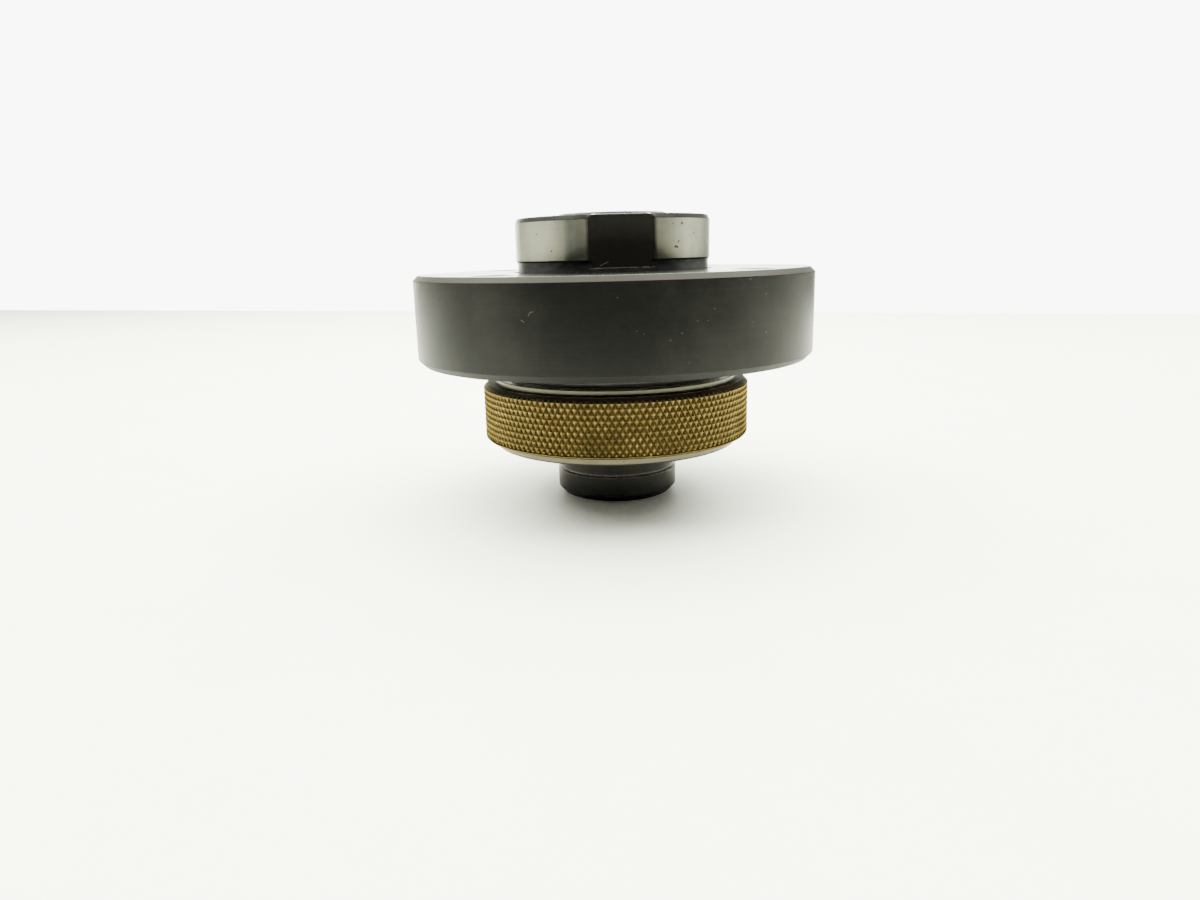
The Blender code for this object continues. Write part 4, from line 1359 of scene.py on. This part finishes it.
@dataclass
class LockingSleeve:
    """The sleeve with its taper, its seal, the thrust washer and the spring above it."""

    skirt: float = 26.408
    shoulder: float = 19.5
    taper: tuple[float, float] = (23.808, 29.297)
    land: float = 19.4
    web: float = 24.908
    web_top: float = 30.897
    rim_bore: float = 27.508
    rim_groove: float = 24.0
    rim_edge: float = 0.12
    foot_edge: float = 0.15
    seal_groove: tuple[float, float, float] = (29.108, 28.6, 30.6)
    edge: float = 0.09
    wire: float = 2.2
    turns: float = 3.5
    stroke: float = 4.0

    def outline(self, reach: Reach) -> Outline:
        """Section of the sleeve from the skirt's foot up the outside and down the bore."""
        seal, seal_foot, seal_top = self.seal_groove
        taper_foot, taper_top = self.taper
        return [
            (self.skirt, reach.foot),
            (reach.radius - self.foot_edge, reach.foot),
            (reach.radius, reach.foot + self.foot_edge),
            (reach.radius, reach.top - self.rim_edge),
            (reach.radius - self.rim_edge, reach.top),
            (self.rim_bore, reach.top),
            (self.rim_bore, seal_top),
            (seal, seal_top),
            (seal, seal_foot),
            (self.rim_bore, seal_foot),
            (self.rim_bore, self.rim_groove),
            (self.web, self.rim_groove),
            (self.web, self.web_top),
            (self.land, self.web_top),
            (self.land, taper_top),
            (taper_foot, self.shoulder),
            (self.skirt, self.shoulder),
        ]

    def build(self) -> None:
        """Turn the sleeve, its seal and its washer, and wind the spring."""
        reach = Reach.of("locking_sleeve")
        sleeve = Bench.turned("locking_sleeve_turned", self.outline(reach))
        Bench.hand_over(sleeve, Body.SLEEVE.value, BRIGHT, "locking_sleeve", edge=self.edge)
        fit_seal("sleeve_o_ring", "sleeve_seal", Body.SLEEVE)
        fit_washer("spring_washer", "thrust_washer", Body.CARRIAGE, self.land)
        wind_spring(
            "sleeve_spring", "sleeve_spring_coil", self.wire, self.turns, self.stroke
        )


def wind_spring(node: str, name: str, wire: float, turns: float, stroke: float) -> None:
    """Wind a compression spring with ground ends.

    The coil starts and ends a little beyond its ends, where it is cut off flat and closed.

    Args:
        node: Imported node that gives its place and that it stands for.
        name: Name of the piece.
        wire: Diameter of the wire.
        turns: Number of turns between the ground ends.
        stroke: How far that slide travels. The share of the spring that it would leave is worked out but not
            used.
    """
    low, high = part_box(node)
    foot, top = low.z / MM, high.z / MM
    mean = high.x / MM - wire / 2
    pitch = (top - foot - wire * 0.5) / turns
    start = foot - wire * 0.5 - SPARE
    rise = top - foot + wire + 2 * SPARE
    steps = int(rise / pitch * COIL_STEPS)
    Bench.clear()
    bpy.ops.mesh.primitive_circle_add(
        vertices=WIRE_STEPS, radius=wire / 2 * MM, rotation=(math.pi / 2, 0, 0)
    )
    spring = Bench.named(name)
    Bench.put(spring, Matrix.Translation((mean * MM, 0, start * MM)) @ spring.matrix_world)
    Bench.apply(
        spring, "SCREW", axis="Z", angle=math.tau * rise / pitch, steps=steps, render_steps=steps,
        screw_offset=rise * MM, iterations=1, use_merge_vertices=False, use_smooth_shade=True,
    )
    for height, outward in ((foot, -1.0), (top, 1.0)):
        Bench.edit(spring)
        bpy.ops.mesh.bisect(
            plane_co=(0, 0, height * MM), plane_no=(0, 0, outward), use_fill=True, clear_outer=True,
            threshold=1e-7,
        )
    Bench.edit(spring)
    Bench.close_up()
    Bench.hand_over(spring, Body.ADAPTER.value, SPRING, node)
    keep = 1.0 - stroke / (top - foot)
    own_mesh(spring)


@dataclass
class GripRing:
    """The brass ring pressed on the sleeve, with its diamond knurl."""

    bore: float = 31.222
    teeth: int = 135
    rows: int = 11
    foot: float = 16.3
    row_height: float = 1.378
    depth: float = 0.48
    flank: float = 0.59
    top_bevel: float = 1.2
    foot_bevel: float = 0.4
    wall_step: tuple[float, float] = (0.02, 0.04)

    def build(self) -> None:
        """Raise the knurl from a lattice of diamonds, carry its borders to the bore, and bevel its top."""
        reach = Reach.of("grip_ring")
        groove = reach.radius - self.depth
        top = self.foot + self.rows * self.row_height
        Bench.clear()
        bpy.ops.mesh.primitive_circle_add(
            vertices=2 * self.teeth, radius=groove * MM, location=(0, 0, self.foot * MM)
        )
        ring = Bench.named("knurled_grip_ring")
        Bench.settle(ring)
        Bench.edit(ring)
        for _ in range(self.rows):
            bpy.ops.mesh.extrude_region_move(TRANSFORM_OT_translate={"value": (0, 0, self.row_height * MM)})
        bpy.ops.mesh.select_all(action="SELECT")
        bpy.ops.mesh.unsubdivide(iterations=1)
        bpy.ops.mesh.select_all(action="SELECT")
        bpy.ops.mesh.normals_make_consistent(inside=False)
        bpy.ops.mesh.select_all(action="DESELECT")
        bpy.ops.mesh.select_face_by_sides(number=4, type="EQUAL")
        bpy.ops.mesh.inset(thickness=self.flank * MM, depth=self.depth * MM, use_individual=True)
        Bench.clear()
        wall = reach.radius - self.wall_step[0]
        below = [
            (wall, self.foot - self.wall_step[1]),
            (wall, reach.foot + self.foot_bevel),
            (reach.radius - self.foot_bevel, reach.foot),
            (self.bore, reach.foot),
        ]
        self.border(ring, self.foot, groove, below)
        self.border(ring, top, groove, [(self.bore, top)])
        Bench.edit(ring, "EDGE")
        bpy.ops.mesh.select_all(action="DESELECT")
        bpy.ops.mesh.select_non_manifold()
        bpy.ops.mesh.bridge_edge_loops()
        Bench.close_up()
        beyond = 0.6
        bevel = [
            (reach.radius + beyond, reach.top - self.top_bevel - beyond),
            (reach.radius - self.top_bevel, reach.top),
            (self.bore - BEYOND, reach.top),
            (self.bore - BEYOND, top + BEYOND),
            (reach.radius + beyond, top + BEYOND),
        ]
        Bench.combine(ring, Bench.turned("bevel_tool", bevel))
        Bench.hand_over(ring, Body.SLEEVE.value, self.finish(reach), "grip_ring", angle=25.0)

    def finish(self, reach: Reach) -> AgedBrass:
        """The brass, told where the knurl and its top bevel are."""
        return AgedBrass(
            "Aged brass", Slot.AGED_BRASS, (0.135, 0.098, 0.030), 0.92, 0.40, outer=reach.radius,
            land=reach.top, foot=self.foot, depth=self.depth, bevel=reach.radius + reach.top - self.top_bevel,
        )

    @staticmethod
    def border(ring: bpy.types.Object, height: float, radius: float, outline: Outline) -> None:
        """Extrude one open border of the lattice through the points of an outline.

        Args:
            ring: The knurled lattice.
            height: Height of the border.
            radius: Radius of the border.
            outline: Points of (radius, height) that it passes through.
        """
        def on_border(point: bpy.types.MeshVertex) -> bool:
            """Say whether a point lies on the border."""
            place = point.co / MM
            return abs(place.z - height) < NEAR and abs(place.xy.length - radius) < NEAR

        Bench.pick(ring, "VERT", on_border)
        bpy.ops.mesh.select_mode(type="EDGE")
        here = (radius, height)
        for there in outline:
            climb = (there[1] - here[1]) * MM
            bpy.ops.mesh.extrude_region_move(TRANSFORM_OT_translate={"value": (0, 0, climb)})
            share = there[0] / here[0]
            bpy.ops.transform.resize(value=(share, share, 1.0), center_override=(0, 0, there[1] * MM))
            here = there
        Bench.clear()


@dataclass
class LockBalls:
    """The four balls in the barrel's pockets."""

    count: int = 4
    steps: int = 40

    def build(self) -> None:
        """Turn one ball and copy it to each pocket."""
        low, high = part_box("lock_ball_1")
        radius = (high.z - low.z) / 2 / MM
        arc = [math.pi * step / self.steps for step in range(self.steps + 1)]
        outline = [(radius * math.sin(a), -radius * math.cos(a)) for a in arc]
        outline[0] = (0.0, -radius)
        outline[-1] = (0.0, radius)
        pattern = Bench.turned("ball_pattern", outline, sides=80)
        for number in range(1, self.count + 1):
            low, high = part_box(f"lock_ball_{number}")
            ball = Bench.copy(pattern, f"locking_ball_{number}")
            Bench.put(ball, Matrix.Translation((low + high) / 2))
            Bench.hand_over(ball, f"ball_{number}", BALL, f"lock_ball_{number}")
        bpy.data.objects.remove(pattern, do_unlink=True)


@dataclass
class Ejector:
    """The sprung plunger in the socket, and the rear plug that closes the chamber.

    The hexagon's mouth is a cone, by its depth, the step in at its foot, its reach outwards and its top.
    Below the hexagon is the drill's cone, by its depth, its top and its step in from the hexagon's sides.
    """

    stem: float = 9.6
    head: tuple[float, float] = (11.9, 38.3)
    bore: tuple[float, float] = (7.2, 3.5)
    chamfer: float = 1.0
    wire: float = 1.6
    turns: float = 7.5
    stroke: float = 8.0
    plug_shank: float = 12.0
    plug_groove: tuple[float, float, float] = (10.3, 61.22, 63.22)
    plug_head: float = 67.22
    plug_edge: float = 0.35
    plug_seat: float = 1.5
    hexagon: float = 10.0
    hexagon_depth: float = 6.0
    mouth: tuple[float, float, float, float] = (0.9, 0.1, 1.3, 0.5)
    drill: tuple[float, float, float] = (1.3, 0.6, 0.35)
    edge: float = 0.12

    def build(self) -> None:
        """Turn the plunger and the plug, and wind the spring between them."""
        reach = Reach.of("ejector_plunger")
        head, seat = self.head
        bore, floor = self.bore
        outline = [
            (0.0, reach.foot), (self.stem - self.chamfer, reach.foot), (self.stem, reach.foot + self.chamfer),
            (self.stem, seat), (head, seat), (head, reach.top), (bore, reach.top), (bore, reach.foot + floor),
            (0.0, reach.foot + floor),
        ]
        plunger = Bench.turned("ejector_plunger_ground", outline, sides=128)
        Bench.hand_over(plunger, Body.EJECTOR.value, GROUND, "ejector_plunger", edge=0.15)
        wind_spring(
            "ejector_spring", "ejector_spring_coil", self.wire, self.turns, self.stroke
        )
        self.build_plug()

    def build_plug(self) -> None:
        """Turn the plug with its seal and sink the hexagon in its head."""
        reach = Reach.of("rear_plug")
        groove, groove_foot, groove_top = self.plug_groove
        outline = [
            (0.0, reach.foot + self.plug_seat), (self.bore[0], reach.foot + self.plug_seat),
            (self.bore[0], reach.foot), (self.plug_shank, reach.foot), (self.plug_shank, groove_foot),
            (groove, groove_foot), (groove, groove_top), (self.plug_shank, groove_top),
            (self.plug_shank, self.plug_head), (reach.radius, self.plug_head),
            (reach.radius, reach.top - self.plug_edge), (reach.radius - self.plug_edge, reach.top),
            (0.0, reach.top),
        ]
        plug = Bench.turned("rear_plug_turned", outline, FINE)
        Bench.break_edges(plug, self.edge)
        foot = reach.top - self.hexagon_depth
        key = Bench.extruded("hexagon_tool", 6, self.hexagon / math.sqrt(3.0), foot, reach.top + BEYOND)
        Bench.combine(plug, key)
        half = self.hexagon / 2
        depth, inward, outward, above = self.mouth
        mouth = [
            (0.0, reach.top - depth), (half - inward, reach.top - depth),
            (half + outward, reach.top + above), (0.0, reach.top + above),
        ]
        Bench.combine(plug, Bench.turned("mouth_tool", mouth, sides=96))
        depth, cone, inward = self.drill
        drill = [
            (0.0, foot - depth), (half - inward, foot + cone), (half - inward, foot + BEYOND),
            (0.0, foot + BEYOND),
        ]
        Bench.combine(plug, Bench.turned("drill_tool", drill, sides=64))
        finish = BlackOxide(
            "Plug black oxide", Slot.BLACK_OXIDE, (0.010, 0.014, 0.028), 0.8, 0.28,
            edges=((reach.radius, reach.top - 0.2), (half + 0.8, reach.top)), ring_pitch=0.2,
        )
        Bench.hand_over(plug, Body.ADAPTER.value, finish, "rear_plug")
        fit_seal("plug_o_ring", "plug_seal", Body.ADAPTER, 128)


@dataclass(frozen=True)
class Softbox:
    """An area light: where it stands, what it is aimed at, its size, its power and its colour."""

    name: str
    place: tuple[float, float, float]
    aim: tuple[float, float, float]
    size: tuple[float, float]
    power: float
    colour: Colour = (1.0, 1.0, 1.0)

    def build(self) -> None:
        """Add the light."""
        data = bpy.data.lights.new(self.name, "AREA")
        data.shape = "RECTANGLE"
        data.size, data.size_y = self.size
        data.energy = self.power
        data.color = self.colour
        lamp = bpy.data.objects.new(self.name, data)
        bpy.context.scene.collection.objects.link(lamp)
        lamp.location = self.place
        lamp.rotation_euler = (Vector(self.aim) - Vector(self.place)).to_track_quat("-Z", "Y").to_euler()
        lamp.visible_camera = False


@dataclass
class Studio:
    """Camera at the photograph's angle, pale floor and soft light.

    The camera's values are a fit to the photograph: millimetres and degrees. The table's are metres.
    """

    distance: float = 215.9
    eye: float = 61.64
    bearing: float = -5.2
    yaw: float = 1.183
    pitch: float = 13.426
    roll: float = -1.466
    lens: float = 24.864
    sensor: float = 36.0
    floor: Colour = (0.92, 0.92, 0.90)
    table_front: float = -0.27
    table_back: float = 0.62
    table_back_turn: float = -26.4
    table_reach: float = 1.4
    table_thickness: float = 0.02
    table_gap: float = 0.02 * MM
    tint: Colour = (0.97, 1.0, 0.84)
    backdrop: Colour = (0.985, 1.0, 0.965)
    seen: float = 9.0
    glow: tuple[tuple[str, float, float, float, float], ...] = (
        ("Y", -0.55, 0.80, 0.05, 2.6),
        ("Z", 0.15, 0.90, 0.22, 2.2),
        ("Y", 0.80, 1.0, 0.0, 13.0),
    )
    boxes: list[Softbox] = field(default_factory=lambda: [
        Softbox("top_softbox", (0.0, 0.18, 0.75), (0.0, 0.10, 0.0), (1.5, 1.1), 90.0, (0.98, 1.0, 0.84)),
        Softbox("left_softbox", (-0.75, 0.15, 0.40), (0.0, 0.0, 0.04), (0.8, 0.8), 1.6, (1.0, 0.99, 0.86)),
        Softbox("right_softbox", (0.75, 0.15, 0.40), (0.0, 0.0, 0.04), (0.8, 0.8), 2.6, (0.97, 1.0, 0.88)),
    ])

    def build(self) -> None:
        """Set up the camera, the floor, the sky and the lights."""
        self.camera()
        self.table()
        self.sky()
        for box in self.boxes:
            box.build()

    def camera(self) -> None:
        """Add the camera."""
        data = bpy.data.cameras.new("camera")
        data.lens = self.lens
        data.sensor_width = self.sensor
        data.sensor_fit = "HORIZONTAL"
        data.clip_start = 0.005
        camera = bpy.data.objects.new("camera", data)
        bpy.context.scene.collection.objects.link(camera)
        turn = Matrix.Rotation(math.radians(self.bearing), 4, "Z")
        look = (
            Matrix.Rotation(math.radians(self.yaw), 4, "Z")
            @ Matrix.Rotation(math.radians(90.0 - self.pitch), 4, "X")
            @ Matrix.Rotation(math.radians(self.roll), 4, "Z")
        )
        camera.matrix_world = turn @ Matrix.Translation(Vector((0.0, -self.distance, self.eye)) * MM) @ look
        bpy.context.scene.camera = camera

    def table(self) -> None:
        """Lay the pale table that the nose stands on."""
        Bench.clear()
        middle = (self.table_front + self.table_reach) / 2
        bpy.ops.mesh.primitive_plane_add(size=1.0)
        table = Bench.named("floor")
        spread = Matrix.Diagonal((2 * self.table_reach, self.table_reach - self.table_front, 1.0, 1.0))
        Bench.put(table, Matrix.Translation((0, middle, -self.table_gap)) @ spread)
        Bench.edit(table)
        outward = Matrix.Rotation(math.radians(self.table_back_turn), 3, "Z") @ Vector((0.0, 1.0, 0.0))
        bpy.ops.mesh.bisect(plane_co=outward * self.table_back, plane_no=outward, clear_outer=True)
        Bench.edit(table, "FACE")
        bpy.ops.mesh.extrude_region_move(TRANSFORM_OT_translate={"value": (0, 0, -self.table_thickness)})
        Bench.close_up()
        graph = Graph("Pale table")
        cloud = graph.noise(graph.point, 0.035, 5.0, 0.6)
        grain = graph.noise(graph.point, 0.6, 4.0, 0.6)
        dull = tuple(0.95 * part for part in self.floor)
        colour = graph.mix(cloud.rise(0.4, 0.7) * 0.6 + grain.rise(0.45, 0.7) * 0.4, self.floor, dull)
        graph.paint(colour, 0.55 + grain * 0.1)
        table.data.materials.append(graph.material)

    def sky(self) -> None:
        """Light the room: bright behind and above, dim on the camera's side, white where seen directly."""
        world = bpy.data.worlds.new("studio")
        bpy.context.scene.world = world
        world.use_nodes = True
        tree = world.node_tree
        tree.nodes.clear()
        place = add_node(tree, "ShaderNodeTexCoord").outputs["Generated"]
        parts = add_node(tree, "ShaderNodeSeparateXYZ", None, {0: place}).outputs
        ramps = [
            add_node(tree, "ShaderNodeMapRange", {"interpolation_type": "SMOOTHSTEP"}, {
                "Value": parts[way], "From Min": low, "From Max": high, "To Min": floor, "To Max": ceiling,
            }).outputs["Result"]
            for way, low, high, floor, ceiling in self.glow
        ]
        glow = add_node(tree, "ShaderNodeMath", {"operation": "MULTIPLY_ADD"}, dict(enumerate(ramps)))
        room = add_node(
            tree, "ShaderNodeBackground", None, {"Color": self.tint, "Strength": glow.outputs[0]}
        )
        seen = add_node(tree, "ShaderNodeBackground", None, {"Color": self.backdrop, "Strength": self.seen})
        direct = add_node(tree, "ShaderNodeLightPath").outputs["Is Camera Ray"]
        join = add_node(
            tree, "ShaderNodeMixShader", None, {0: direct, 1: room.outputs[0], 2: seen.outputs[0]}
        )
        add_node(tree, "ShaderNodeOutputWorld", None, {"Surface": join.outputs[0]})


def main() -> None:
    """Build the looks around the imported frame."""
    logging.basicConfig(level=logging.INFO, format="%(name)s: %(message)s")
    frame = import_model()
    mounts = {mount["name"]: mount["pos_m"] for mount in frame["record"]["mounts"]}
    Studio().build()
    FlangeAndPilot(machine_face=mounts["machine_face"][2] / MM, flat=mounts["pilot_flat"][1] / MM).build()
    Barrel().build()
    LockingSleeve().build()
    GripRing().build()
    LockBalls().build()
    Ejector().build()
    Bench.clear()


if __name__ == "__main__":
    main()
